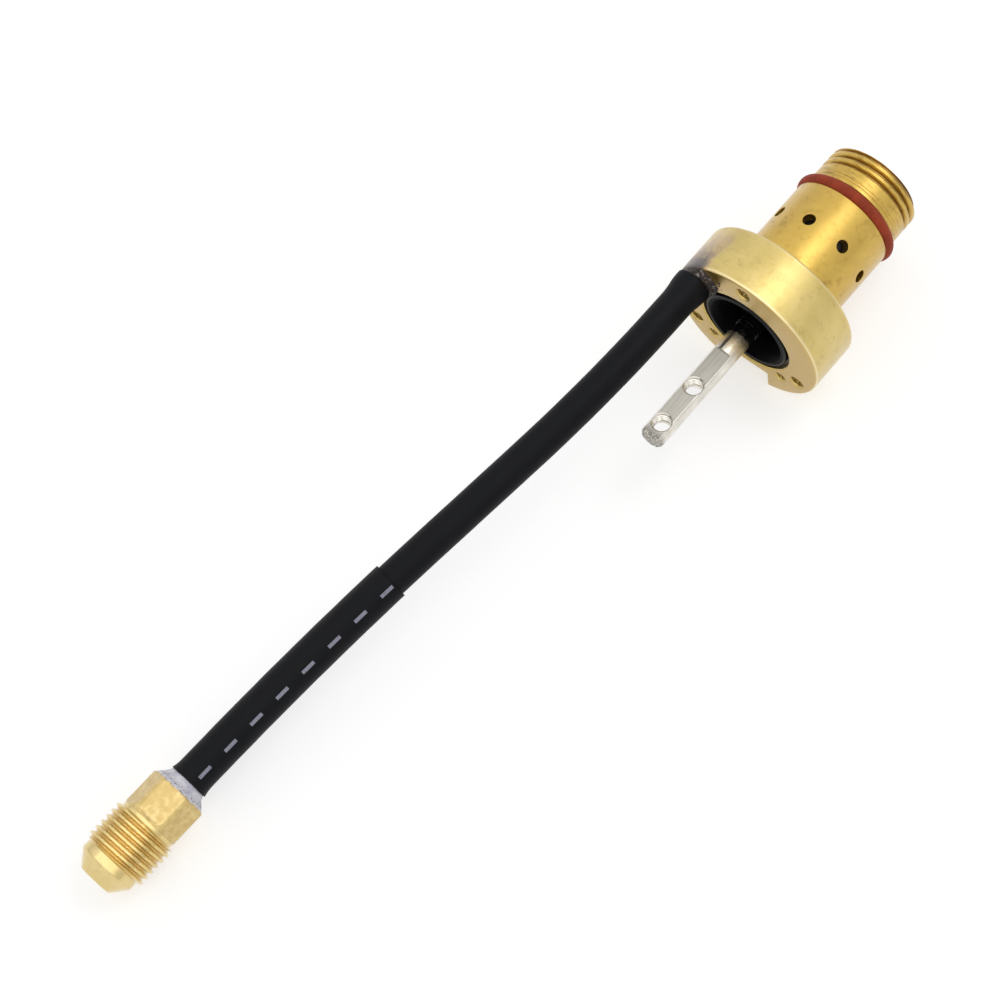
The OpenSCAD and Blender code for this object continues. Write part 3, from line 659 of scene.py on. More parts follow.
class Finish(Paint):
    """Material of one finish, built up by layers. Its spot is the place on the object in millimetres."""

    def __init__(self, name, tone=(0, 0, 0)):
        self.material = bpy.data.materials.new(name)
        self.material.use_nodes = True
        super().__init__(self.material.node_tree)
        self.shader = self.tree.nodes["Principled BSDF"]
        here = self.add("ShaderNodeTexCoord", out="Object")
        self.spot = self.vector("SCALE", here, Scale=1 / MM)
        self.tone, self.layers = np.array(tone), {}

    def value(self, name):
        """The number that the mesh's points carry under a name."""
        return self.add("ShaderNodeAttribute", {"attribute_name": name}, out="Fac")

    def stretched(self, *scale):
        """The spot, scaled along each of the three axes."""
        return self.add("ShaderNodeMapping", {}, {"Vector": self.spot, "Scale": scale})

    def about(self, axes):
        """Distance along an axis, distance from it, and direction out from it, for each place."""
        origin, axis, *_ = axes
        away = self.vector("SUBTRACT", self.spot, origin)
        along = self.vector("DOT_PRODUCT", away, axis, out="Value")
        out_from = self.vector("SUBTRACT", away, self.vector("SCALE", axis, Scale=along))
        return along, self.vector("LENGTH", out_from, out="Value"), self.vector("NORMALIZE", out_from)

    def clouds(self, scale, seed, detail=4, rough=0.55, warp=0.0, where=None):
        """Soft noise about 0.5, with so many features to a millimetre."""
        inputs = {"Vector": where or self.spot, "W": seed, "Scale": scale, "Detail": detail}
        inputs.update({"Roughness": rough, "Distortion": warp})
        return self.add("ShaderNodeTexNoise", {"noise_dimensions": "4D"}, inputs)

    def specks(self, scale, seed, size, share):
        """Small round spots of a size in cells, on a share of the cells."""
        made = {"voronoi_dimensions": "4D"}, {"Vector": self.spot, "W": seed, "Scale": scale}
        near = self.add("ShaderNodeTexVoronoi", *made)
        tint = self.add("ShaderNodeTexVoronoi", *made, out=1)
        chance = self.add("ShaderNodeSeparateColor", {}, {0: tint})
        return near.between(size, size * 0.4) * chance.maths("LESS_THAN", chance, share)

    def tool_marks(self, axes, fine, seed, wander=0.8):
        """Fine rings of a turned surface: noise that changes fast along the axis and with the radius, and
        slowly on the way round."""
        along, radius, facing = self.about(axes)
        finer_across = 1.31  # on end faces, where only the radius changes
        march = self.vector("SCALE", axes[1], Scale=(along + radius * finer_across) * fine)
        where = self.vector("ADD", march, self.vector("SCALE", facing, Scale=wander))
        return self.clouds(1.0, seed, rough=0.65, where=where)

    def scratches(self, scale, seed, *stretch):
        """Sparse thin scratches: the narrow line where a stretched noise is 0.5, kept in a few places."""
        noise = self.clouds(scale, seed, detail=1, warp=0.6, where=self.stretched(*stretch))
        line = abs(noise - 0.5).between(0.012, 0.002)
        return line * self.clouds(scale * 0.9, seed + 5, detail=2).between(0.52, 0.62)

    def cloudy(self, noise, low, high, first, second):
        """Base colour that goes from the first to the second as a noise goes from low to high."""
        self.layers["Base Color"] = self.mix(noise.between(low, high), first, np.minimum(second, 1))

    def layer(self, share, tint):
        """Colour over the base, as thick as the share."""
        self.layers["Base Color"] = self.mix(share, self.layers["Base Color"], tint)

    def roughen(self, amount):
        """Adds to the roughness, or sets it where there is none yet."""
        rough = self.layers.get("Roughness")
        self.layers["Roughness"] = rough + amount if rough else amount

    def press(self, height, depth):
        """Relief on top of the last one, so many millimetres deep where the height goes from 0 to 1."""
        inputs = {"Strength": 1.0, "Distance": depth * MM, "Height": height}
        if "Normal" in self.layers:
            inputs["Normal"] = self.layers["Normal"]
        self.layers["Normal"] = self.add("ShaderNodeBump", {}, inputs)

    def finish(self, **sockets):
        """Feeds the shader the layers and the named sockets, with _ for a space, and gives the material."""
        for name, value in {**self.layers, **sockets}.items():
            self.feed(self.shader.inputs[name.replace("_", " ")], value)
        return self.material


OIL_FILM = {"Coat_Weight": 0.7, "Coat_Roughness": 0.3}  # on the brass outside
EASE = 0.35, 0.65  # where a noise of middle 0.5 has most of its values


def tone(name):
    """Colour of a name among the torch's colours."""
    return np.array(getattr(sizes("torch_colours"), name))


def brass(name, tint, axes, seed, worn, fine, tarnish):
    """Turned brass with rings from the tool, cloudy tarnish, brown stains, specks and scratches: worn is
    its least roughness, fine the number of rings to a millimetre, and tarnish the strength of the stains."""
    paint = Finish(name, tint)
    clouds = paint.clouds(0.16, seed, warp=0.8)
    patches = paint.clouds(0.55, seed + 1, rough=0.6)
    rings = paint.tool_marks(axes, fine, seed + 2)
    stains = paint.clouds(0.34, seed + 3, detail=5, rough=0.62).between(0.56, 0.7)
    grime = paint.specks(0.9, seed + 4, 0.16, 0.45)
    nicks = paint.scratches(0.45, seed + 6, 1, 0.5, 0.5)
    dull = paint.tone * (0.78, 0.72, 0.56)
    paint.cloudy(clouds, 0.34, 0.7, paint.tone, paint.tone * (1.08, 1.1, 1.22))
    paint.layer(patches.between(0.5, 0.75) * tarnish, dull)
    paint.layer(rings.between(0.35, 0.8) * 0.22, dull)
    paint.layer((stains * 0.5 + grime * 0.6) * tarnish, shade(112, 78, 34))
    paint.roughen(worn + clouds * 0.12 + patches * 0.1 + rings * 0.1 - nicks * 0.1)
    paint.press(rings, 0.004)
    paint.press(paint.clouds(1.4, seed + 7), 0.006)
    paint.press(1 - nicks, 0.01)
    return paint


def tube_heat(paint):
    """Distance along the line that the tube takes through the flange, and distance from that line, made
    uneven by a noise of about 2 millimetres either way."""
    along, radius, _ = paint.about(seat_axes())
    return along, radius + (paint.clouds(0.22, 61) - 0.5) * 4


def flange_brass():
    """Pale, satin brass that the brazing heat has mottled: pink and grey by the tube, with a burnt edge.
    Painted highlight on the rims and painted shade on the rear face.
    """
    head = sizes("torch_head")
    paint = brass("flange_brass", tone("flange"), TORCH_AXES, 11, 0.24, 5.0, 0.45)
    along, near = tube_heat(paint)
    blush = near.between(7.4, 5.2) * along.between(13, 8) * 0.8
    smoke = near.between(6.6, 4.6) * along.between(9.5, 1)
    ash = near.between(6.0, 4.8) * along.between(4.5, 0.5)
    char = near.between(6.2, 4.6) * along.between(1.4, -0.2)
    mottle = paint.clouds(0.5, 63, detail=5, rough=0.6)
    flux = paint.specks(1.1, 64, 0.42, 0.55) * near.between(7.6, 6) * near.between(4.2, 5)
    rim, thick = head.flange_d / 2, head.flange_t
    ends = along.between(0.9, 0.35) * 0.7 + along.between(thick - 0.9, thick - 0.35) * 0.3
    rim_share = paint.about(TORCH_AXES)[1].between(rim - 0.6, rim - 0.25)
    painted_rim_highlight = rim_share * ends * (1 - near.between(7, 5.5))
    paint.layer(blush * mottle.between(0.25, 0.6), shade(184, 156, 134))
    paint.layer(smoke * mottle.between(0.24, 0.56) * 0.9, shade(104, 90, 86))
    paint.layer(ash * mottle.between(0.1, 0.45) * 0.85, shade(88, 86, 88))
    # painted highlight: a pale line along the rounded edges of both rims, stronger at the rear, kept off the
    # heat zone
    paint.layer(painted_rim_highlight * 0.75, shade(252, 236, 196))
    # painted shade: the rear face darker and browner, for the dim surroundings that it reflects
    paint.layer(along.between(0.3, 0.05) * 0.8, paint.tone * (0.8, 0.66, 0.36))
    paint.layer(char * mottle.between(0.3, 0.5), shade(58, 42, 36))
    paint.layer(flux * along.between(0.6, 0.1) * 0.8, shade(226, 214, 204))
    paint.roughen(smoke * 0.14 + char * 0.3 + flux * 0.25)
    paint.press(mottle * (smoke + char), 0.05)
    return paint.finish(Metallic=1 - char * 0.75, **OIL_FILM)


def barrel_brass():
    """Golden, turned brass with fine rings and brown tarnish, and painted shade in the roots of the nose
    thread.
    """
    head = sizes("torch_head")
    paint = brass("barrel_brass", tone("barrel"), TORCH_AXES, 23, 0.2, 6.0, 0.7)
    crest = head.neck_d / 2
    along, radius, _ = paint.about(TORCH_AXES)
    root = radius.between(crest - 0.2, crest - 0.7) * radius.between(crest - 2, crest - 1.7)
    on_nose = along.between(head.shoulder_x, head.shoulder_x + 0.5)
    lines = paint.tool_marks(TORCH_AXES, 1.5, 31, 2.2).between(0.52, 0.66)
    # painted shade: dark brown in the roots of the nose thread and on the floor of the O-ring groove
    paint.layer(root * on_nose * 0.65, shade(116, 76, 22))
    paint.layer(lines * on_nose * 0.6, shade(126, 84, 34))
    return paint.finish(Metallic=1.0, **OIL_FILM)


def cathode_brass():
    """Darker, turned brass of the inner body."""
    return brass("cathode_brass", tone("barrel"), TORCH_AXES, 41, 0.24, 5.0, 0.6).finish(Metallic=1.0)


def soot(paint, near):
    """Lays patches of soot on the fitting's braze, as far as near goes from 0 to 1."""
    patches = paint.clouds(2.6, 39, rough=0.65).between(0.5, 0.6)
    paint.layer(patches * near * 0.75, shade(104, 98, 92))


def fitting_brass():
    """Bright, yellow, turned brass: painted shade in the thread's roots, dull on the hexagon, with flux on
    its rear edge.
    """
    part, (thread_x, hex_x, end) = sizes("torch_fitting"), fitting_marks()
    paint = brass("fitting_brass", tone("fitting"), fitting_axes(), 37, -0.04, 5.0, 0.3)
    along, radius, _ = paint.about(fitting_axes())
    crest, relief_x = part.thread_d / 2, hex_x - part.relief_l
    root = radius.between(crest - 0.45, crest - 0.95) * along.between(thread_x, thread_x + 0.4)
    hexagon_side = along.between(hex_x - 0.5, hex_x)
    edge = along + (paint.clouds(0.9, 38, detail=3) - 0.5) * 1.2
    crust = edge.between(end - 0.62, end - 0.4)
    satin = paint.clouds(0.7, 36, detail=5, rough=0.65)
    # painted shade: brown in the roots of the thread
    paint.layer(root * along.between(relief_x, relief_x - 0.4) * 0.35, shade(168, 108, 34))
    paint.layer(hexagon_side * satin.between(0.3, 0.6) * 0.85, paint.tone * (0.8, 0.74, 0.62))
    paint.layer(crust, tone("flux"))
    soot(paint, edge.between(end - 1.1, end - 0.5))
    paint.roughen(hexagon_side * (0.24 + satin * 0.24) + crust * 0.3)
    paint.press(satin * hexagon_side, 0.03)
    return paint.finish(Metallic=1 - crust, **OIL_FILM)


def terminal_plate():
    """Dull nickel plate: milled on the flat, streaky on the round, with a rough, sawn tip."""
    stem = sizes("torch_stem")
    paint = Finish("terminal_plate", tone("stem"))
    round_r, flat, tip_x = stem.stem_d / 2, stem.flat_height, -stem.reach
    along, radius, _ = paint.about(TORCH_AXES)
    height = paint.vector("DOT_PRODUCT", paint.spot, outward(stem.flat_angle), out="Value")
    milled = radius.between(round_r - 0.03, round_r - 0.1) * height.between(flat - 0.15, flat - 0.05)
    streaks = paint.clouds(1.0, 71, where=paint.stretched(0.12, 3.2, 3.2))
    clouds = paint.clouds(0.35, 72)
    grain = paint.clouds(4.0, 73, rough=0.7)
    tip = along.between(tip_x + 2.4, tip_x + 0.4)
    paint.cloudy(clouds, *EASE, paint.tone * 0.92, paint.tone * 1.1)
    paint.layer(streaks.between(0.52, 0.7) * (1 - milled) * 0.5, shade(148, 124, 92))
    paint.layer(milled, paint.mix(streaks.between(0.3, 0.7), paint.tone * 0.6, paint.tone * 0.74))
    paint.layer(grain.between(0.45, 0.75) * 0.3, paint.tone * 0.6)
    paint.layer(tip * grain.between(0.35, 0.6) * 0.85, shade(120, 117, 112))
    paint.roughen(0.2 + milled * 0.3 + streaks * 0.08 + clouds * 0.08 + tip * 0.15)
    paint.press(streaks * (1 - milled), 0.01)
    paint.press(grain, 0.008)
    paint.press(grain * tip, 0.12)
    return paint.finish(Metallic=1.0)


def hardware_steel():
    """Zinc-plated steel of the nut and washer."""
    paint = Finish("hardware_steel", tone("steel"))
    clouds, rings = paint.clouds(0.5, 81), paint.tool_marks(TORCH_AXES, 5.0, 82)
    paint.cloudy(clouds, *EASE, paint.tone * 0.8, paint.tone)
    paint.roughen(0.25 + clouds * 0.15 + rings * 0.1)
    paint.press(rings, 0.006)
    return paint.finish(Metallic=1.0)


def spring_steel():
    """Oiled, dark spring steel."""
    paint = Finish("spring_steel")
    clouds = paint.clouds(0.6, 85)
    paint.cloudy(clouds, *EASE, shade(58, 56, 56), shade(96, 92, 90))
    paint.roughen(0.28 + clouds * 0.2)
    paint.press(paint.tool_marks(TORCH_AXES, 4.0, 86), 0.01)
    return paint.finish(Metallic=1.0)


def tube_copper():
    """Cloudy, drawn copper with long draw lines."""
    paint = Finish("tube_copper", tone("copper"))
    clouds = paint.clouds(0.3, 91)
    paint.cloudy(clouds, *EASE, paint.tone * 0.7, paint.tone)
    paint.roughen(0.22 + clouds * 0.2)
    paint.press(paint.clouds(1.0, 92, detail=3, where=paint.stretched(0.1, 4.0, 4.0)), 0.01)
    return paint.finish(Metallic=1.0)


def dark_insulator():
    """Dark grey, turned insulating plastic. The dark grey is painted shade: it darkens what the gas holes
    show of the front insulator.
    """
    paint = Finish("dark_insulator", tone("moulding"))
    clouds = paint.clouds(0.25, 105)
    paint.cloudy(clouds, 0.35, 0.7, paint.tone, paint.tone * (0.9, 0.86, 0.76))
    paint.roughen(0.42 + clouds * 0.14)
    paint.press(paint.tool_marks(TORCH_AXES, 4.0, 106), 0.01)
    return paint.finish()


def rubber(name, tint, seed):
    """Matt moulded rubber with a slight bloom and dust."""
    paint = Finish(name, tint)
    clouds, dust = paint.clouds(0.5, seed), paint.specks(2.2, seed + 2, 0.14, 0.2)
    paint.cloudy(clouds, 0.3, 0.7, paint.tone * 0.82, paint.tone * 1.15)
    paint.layer(dust * 0.35, np.minimum(paint.tone * 2 + 0.06, 1))
    paint.roughen(0.5 + clouds * 0.16 + dust * 0.2)
    paint.press(paint.clouds(6.0, seed + 1, detail=3, rough=0.7), 0.01)
    return paint.finish(Specular_IOR_Level=0.18)


def black_insulator():
    """Black moulding with faint turning marks and dust: dull in its recess, and polished at the open end."""
    paint, lip = Finish("black_insulator", tone("insulator")), sizes("torch_core").lip_d / 2
    clouds, dust = paint.clouds(0.4, 101), paint.specks(1.6, 103, 0.13, 0.16)
    paint.cloudy(clouds, 0.3, 0.7, paint.tone * 0.7, paint.tone * 1.4)
    paint.layer(dust * 0.3, shade(120, 118, 116))
    along, radius, _ = paint.about(TORCH_AXES)
    paint.roughen(0.34 + along.between(0.8, 2.5) * 0.34 + clouds * 0.14 + dust * 0.2)
    paint.press(paint.tool_marks(TORCH_AXES, 3.0, 102), 0.006)
    glints = paint.clouds(1.1, 104, detail=2).between(0.5, 0.58)
    polished = radius.between(lip - 0.8, lip - 0.4) + radius.between(lip - 6, lip - 7) * glints
    coat = along.between(1.5, 0.9) * polished * 0.35
    return paint.finish(Specular_IOR_Level=0.03, Coat_Weight=coat, Coat_Roughness=0.25)


def burnt_braze():
    """Heat-blackened braze: brown and black scale with crusts of pale flux and a little bare metal."""
    paint = Finish("burnt_braze", tone("burnt"))
    scale = paint.clouds(0.9, 111, detail=5, rough=0.65)
    crust = paint.clouds(0.6, 112, detail=5, rough=0.6)
    bare = crust.between(0.38, 0.31) * 0.6
    paint.cloudy(scale, 0.38, 0.62, paint.tone * 0.3, paint.tone * 1.2)
    paint.layer(crust.between(0.53, 0.62), shade(170, 160, 154))
    paint.layer(bare, shade(160, 128, 96))
    paint.roughen(0.75 - bare * 0.4)
    paint.press(scale + crust, 0.08)
    return paint.finish(Metallic=bare)


def white_flux():
    """Grey-white flux over the fitting's braze, lumpy, with dark specks and a little brass showing."""
    paint, end = Finish("white_flux", tone("flux")), fitting_marks()[2]
    knobs = paint.clouds(0.7, 121, detail=5, rough=0.6)
    grey = paint.clouds(0.45, 122)
    paint.cloudy(grey, 0.4, 0.62, paint.tone, paint.tone * (0.72, 0.72, 0.8))
    paint.layer(knobs.between(0.6, 0.7), shade(186, 166, 120))
    paint.layer(paint.specks(1.7, 123, 0.3, 0.35) * 0.75, shade(88, 84, 84))
    soot(paint, paint.about(fitting_axes())[0].between(end + 1.3, end + 0.1))
    paint.roughen(0.55 + grey * 0.2)
    paint.press(knobs, 0.12)
    return paint.finish()


def shrink_sleeve(name, printed):
    """Satin black heat-shrink with a fine grain and dust. The printed sleeve carries a row of plain white
    dashes, placed by the length along the route and the way round that its points keep."""
    paint, dash_pitch = Finish(name, tone("sleeve")), 8.0
    clouds, grain = paint.clouds(0.3, 131), paint.clouds(3.5, 132, rough=0.6)
    dust = paint.specks(1.5, 133, 0.12, 0.16)
    paint.cloudy(clouds, 0.3, 0.7, paint.tone * 0.75, paint.tone * 1.3)
    paint.layer(dust * 0.35, shade(110, 110, 114))
    paint.roughen(0.46 + clouds * 0.12 + dust * 0.2)
    if printed:
        along, wrap = paint.value("along"), paint.value("wrap")
        step = along.maths("MODULO", along, dash_pitch)
        dash = step.between(0.9, 1.1) * step.between(4.6, 4.4)
        ink = dash * abs(wrap).between(0.45, 0.38) * grain.between(0.3, 0.45)
        paint.layer(ink * 0.85, shade(172, 172, 190))
        paint.roughen(ink * 0.1)
    paint.press(grain, 0.008)
    return paint.finish(Specular_IOR_Level=0.13)


# Pieces


def cathode_seal_places():
    """Distances of the cathode body's two seals from the rear face."""
    core = sizes("torch_core")
    rear = core.floor_x + core.floor_t
    return rear + core.cathode_seal_inset, core.cathode_end_x - core.cathode_seal_inset


def seal_groove(middle, cord, outer, floor, fillet):
    """Four corners of a groove for a seal, a little wider than its cord, on a line along the torch axis."""
    room = 0.1
    half = cord / 2 + room
    start, end = middle - half, middle + half
    return [(start, outer, fillet), (start, floor, 0.1), (end, floor, 0.1), (end, outer, fillet)]


class TORCH_OT_flange(bpy.types.Operator):
    """Make the flange: a ring turned about the torch axis, less its notch, tapped holes and tube seat"""

    bl_idname = "torch.flange"
    bl_label = "Flange"
    edge = 0.22  # width of the notch's broken edges

    def execute(self, context):
        head, core = sizes("torch_head"), sizes("torch_core")
        outer, bore, inner = head.flange_d / 2, head.rear_bore_d / 2, head.barrel_d / 2 + core.fit
        groove, groove_end = head.spring_ring_x, head.spring_ring_x + head.spring_ring_w
        bottom, thick, deep = bore + head.spring_ring_bite, head.flange_t, head.rear_bore_depth
        corners = [(0, bore + 0.3, 0.15), (0, outer, head.rim), (thick, outer, head.rim)]
        corners += [(thick, inner, 0.25), (deep, inner, 0), (deep, bore, 0)]
        corners += [(groove_end, bore, 0.05), (groove_end, bottom, 0.05), (groove, bottom, 0.05)]
        corners += [(groove, bore, 0.05), (0.3, bore, 0.15)]
        cutters = [self.notch(head), *self.tapped(head), *self.seats(head)]
        ring = carved("flange_dressed", lathed("flange_ring", corners, 320), cutters)
        piece("flange_dressed", ring, "flange_brass", flange_brass(), "flange_ring")
        return {"FINISHED"}

    def notch(self, head):
        """Cutter for the notch: its outline across the axis, carried along the axis, and widened at both
        faces and at the rim by a small broken edge."""
        half, floor, edge, reach = head.notch_w / 2, head.notch_floor, self.edge, head.flange_d / 2
        wall, wide = np.sqrt(reach**2 - half**2), half + 3 * edge
        right = [(half, -floor, 0.5), (half, edge - wall, 0)]
        right += [(wide, -wall - 2 * edge, 0), (wide, -reach - 1, 0)]
        y, z = softened(right + [(-y, z, fillet) for y, z, fillet in reversed(right)]).T
        x = np.array([-1, 0, edge, head.flange_t - edge, head.flange_t, head.flange_t + 1])[:, None]
        wider = np.maximum(0, np.maximum(edge - x, x - head.flange_t + edge))
        z = z + wider * (z > -floor - 0.3)
        return skin("notch", np.stack(np.broadcast_arrays(x, y + np.sign(y) * wider, z), -1))

    def tapped(self, head):
        """Cutters for the three mounting holes and the two cover screw holes."""
        mount = head.mount_pcd / 2, head.mount_hole_d, head.mount_pitch, head.mount_depth
        cover = head.cover_pcd / 2, head.cover_hole_d, head.cover_pitch, head.cover_depth
        spots = [(TURN / 4 + k * TURN / 3, mount) for k in range(3)]
        spots += [(0.75 * TURN + side * head.cover_angle, cover) for side in (-1, 1)]
        for turn, (r, bore, pitch, depth) in spots:
            axes = axes_at(outward(turn, r), (1, 0, 0), (0, 1, 0))
            yield tapped_cutter("tapped", axes, bore, pitch, depth, 0.35)

    def seats(self, head):
        """Cutters for the tube's seat and for the gas port between the seat and the barrel."""
        tube = sizes("torch_tube")
        seat_r, port_r = tube.tube_d / 2 + tube.slip, head.gas_port_d / 2
        yield rod_cutter("seat", seat_axes(), [(-1, seat_r), (tube.seat_depth, seat_r)])
        port = axes_at((head.gas_port_x, 0, 0), outward(tube.seat_angle), (1, 0, 0))
        yield rod_cutter("port", port, [(head.barrel_d / 2 - 1, port_r), (tube.seat_r, port_r)])


class TORCH_OT_barrel(bpy.types.Operator):
    """Make the barrel: turned about the torch axis, with the nose thread as a helix, less its gas holes"""

    bl_idname = "torch.barrel"
    bl_label = "Barrel"
    edge = 0.14  # width of the holes' broken edges
    # distance from the groove and depth, along two fine lines turned into the neck
    neck_lines = ((0.9, 0), (1.0, 0.09), (1.1, 0), (1.7, 0), (1.8, 0.09), (1.9, 0))

    def execute(self, context):
        head, core = sizes("torch_head"), sizes("torch_core")
        outer, crest, groove, nose = head.barrel_d / 2, head.neck_d / 2, head.shoulder_x, head.nose_x
        start, bore, nose_bore = head.rear_bore_depth + core.fit, head.barrel_bore_d / 2, head.nose_bore_d / 2
        groove_r = outer + head.ring_stand - head.ring_cord
        groove_end = groove + head.ring_cord + head.ring_room
        corners = [(start, outer, 0.1), (groove, outer, 0.35), (groove, groove_r, 0.15)]
        corners += [(groove_end, groove_r, 0.15), (groove_end, crest, 0.25)]
        corners += [(groove_end + x, crest - deep, 0) for x, deep in self.neck_lines]
        corners += [(nose - 0.55, crest, 0.15), (nose, crest - 0.55, 0.15), (nose, nose_bore, 0.2)]
        corners += [(head.bore_step_x, nose_bore, 0), (head.bore_step_x, bore, 0), (start, bore, 0.1)]
        line = softened(corners)
        rows = finer(line, 0.1, closed=True)  # kept fine only past the groove, where the thread lies
        plain = np.isin(rows, line[line[:, 0] <= groove_end - 0.01]).all(1)
        rows = rows[(rows[:, 0] > groove_end) | plain]
        x, r, t = rows[:, :1], rows[:, 1:], around(320)
        depth = head.nose_thread_depth  # a helical cut lowers the crest by up to this
        cut = screw(x, t, head.nose_pitch, depth, head.nose_lead, head.nose_run_in, 0.9)
        outside = (r > crest - depth) & (x > groove_end)
        body = skin("nose_barrel", spin(x, np.where(outside, np.minimum(r, crest - cut), r), t), loop=True)
        barrel = carved("barrel_dressed", body, list(self.holes(head)))
        piece("barrel_dressed", barrel, "barrel_brass", barrel_brass(), "nose_barrel")
        return {"FINISHED"}

    def holes(self, head):
        """Cutters for the gas holes and the gas port in the barrel's wall, with a broken edge outside."""
        turns = [head.gas_hole_phase + k * TURN / head.gas_hole_count for k in range(head.gas_hole_count)]
        spots = [(head.gas_hole_x, turn, head.gas_hole_d / 2) for turn in turns]
        spots.append((head.gas_port_x, sizes("torch_tube").seat_angle, head.gas_port_d / 2))
        outer, inner, edge = head.barrel_d / 2, head.barrel_bore_d / 2 - 1.5, self.edge
        for x, turn, r in spots:
            profile = [(inner, r), (outer - edge, r), (outer + 1, r + 1 + edge)]
            yield rod_cutter("hole", axes_at((x, 0, 0), outward(turn), (1, 0, 0)), profile)


class TORCH_OT_seals(bpy.types.Operator):
    """Make the rubber rings: the red one on the nose and the black ones inside"""

    bl_idname = "torch.seals"
    bl_label = "Seals"

    def execute(self, context):
        head, core = sizes("torch_head"), sizes("torch_core")
        red, black = rubber("red_seal", tone("red_seal"), 141), rubber("black_seal", shade(30, 30, 32), 145)
        cord, seal, thin = head.ring_cord, core.seal_cord, core.cathode_seal_cord
        ring_x, ring_r = head.shoulder_x + cord / 2 + core.fit, head.barrel_d / 2 + head.ring_stand - cord / 2
        piece("nose_ring", torus("nose_ring", ring_x, ring_r, cord, 1.06), "red_seal", red, "nose_o_ring")
        cup = torus("cup_seal", core.cup_seal_x, head.rear_bore_d / 2 - core.fit - seal / 2, seal)
        piece("cup_seal", cup, "black_seal", black, "cup_o_ring")
        collar_x = head.bore_step_x - core.collar_t / 2
        front = torus("insulator_seal", collar_x, head.barrel_bore_d / 2 - core.fit - seal / 2, seal)
        piece("insulator_seal", front, "black_seal", black, "insulator_o_ring")
        ring_r = core.front_bore_d / 2 - core.fit - thin / 2
        rings = [torus("ring", x, ring_r, thin) for x in cathode_seal_places()]
        piece("cathode_seals", gathered("cathode_seals", rings), "black_seal", black, "cathode_o_rings")
        return {"FINISHED"}


class TORCH_OT_cup(bpy.types.Operator):
    """Make the insulator cup in the rear bore, with its rounded lip and deep recess"""

    bl_idname = "torch.cup"
    bl_label = "Insulator cup"

    def execute(self, context):
        head, core, stem = sizes("torch_head"), sizes("torch_core"), sizes("torch_stem")
        body, tube, hole = head.rear_bore_d / 2 - core.slip, core.tube_d / 2, stem.thread_d / 2 + core.slip
        seal_floor = head.rear_bore_d / 2 - 2 * core.fit - core.seal_cord
        lip, shoulder, lip_r, recess = core.lip_x, core.shoulder_x, core.lip_d / 2, core.recess_d / 2
        deep, floor, end = head.rear_bore_depth, core.floor_x, core.floor_x + core.floor_t
        corners = [(lip, core.mouth_d / 2, 0.3), (lip, lip_r, 0.55)]
        corners += [(shoulder, lip_r, 0.05), (shoulder, body, 0.2)]
        corners += seal_groove(core.cup_seal_x, core.seal_cord, body, seal_floor, 0.05)
        corners += [(deep, body, 0.2), (deep, tube, 0.05), (end, tube, 0.3), (end, hole, 0.2)]
        corners += [(floor, hole, 0.2), (floor, recess, 0.5), (lip + core.taper_l, recess, 0.6)]
        cup = lathed("cup_dressed", corners, 256)
        piece("cup_dressed", cup, "black_insulator", black_insulator(), "insulator_cup")
        return {"FINISHED"}


class TORCH_OT_inner_bodies(bpy.types.Operator):
    """Make the front insulator and the cathode body with its threaded electrode socket"""

    bl_idname = "torch.inner_bodies"
    bl_label = "Front insulator and cathode body"

    def execute(self, context):
        head, core = sizes("torch_head"), sizes("torch_core")
        start, step, end = core.floor_x + core.floor_t + core.fit, head.bore_step_x, core.front_end_x
        tube, bore, nose = core.tube_d / 2, core.front_bore_d / 2, head.nose_bore_d / 2 - core.slip
        collar_x, collar_r = step - core.collar_t, head.barrel_bore_d / 2 - core.slip
        seal_floor = head.barrel_bore_d / 2 - 2 * core.fit - core.seal_cord
        corners = [(start, tube, 0.2), (collar_x, tube, 0.05), (collar_x, collar_r, 0.15)]
        corners += seal_groove(step - core.collar_t / 2, core.seal_cord, collar_r, seal_floor, 0.03)
        corners += [(step - core.fit, collar_r, 0.15), (step - core.fit, nose, 0.05)]
        corners += [(end, nose, 0.35), (end, bore, 0.25), (start, bore, 0.15)]
        sleeve = lathed("front_sleeve", corners, 224)
        piece("front_sleeve", sleeve, "dark_insulator", dark_insulator(), "front_insulator")
        piece("cathode_dressed", self.cathode(start), "cathode_brass", cathode_brass(), "cathode_body")
        return {"FINISHED"}

    def cathode(self, start):
        """Body turned from its rear seat's middle, round the outside with two seal grooves, to the middle of
        the threaded socket."""
        core, stem = sizes("torch_core"), sizes("torch_stem")
        outer, seat_r = core.front_bore_d / 2 - core.slip, stem.thread_d / 2 + core.slip
        seal_floor = core.front_bore_d / 2 - 2 * core.fit - core.cathode_seal_cord
        seat_x, end, socket = start + core.stem_seat_l, core.cathode_end_x, core.socket_d / 2
        floor, pitch = end - core.socket_depth, core.socket_pitch
        corners = [(seat_x, seat_r / 4, 0), (seat_x, seat_r, 0), (start, seat_r, 0.1), (start, outer, 0.2)]
        for middle in cathode_seal_places():
            corners += seal_groove(middle, core.cathode_seal_cord, outer, seal_floor, 0.03)
        corners += [(end, outer, 0.35), (end, socket + 0.4, 0.1), (end - 0.5, socket, 0)]
        corners += [(floor, socket, 0), (floor, socket / 4, 0)]
        line = softened(corners)
        rows = finer_where(line, np.abs(line[:, 1] - socket) < 0.001, pitch / 12)
        x, r, t = rows[:, :1], rows[:, 1:], around(144)
        depth = 0.5 * pitch
        ridge = depth - screw(x, t, pitch, depth, end, floor=0.3)  # the grooves between the threads
        ridge = ridge * smooth_step(end - x, 0.3, 1.2) * smooth_step(x, floor, floor + 1)
        return skin("cathode_dressed", spin(x, np.where(np.abs(r - socket) < 0.01, r + ridge, r), t))


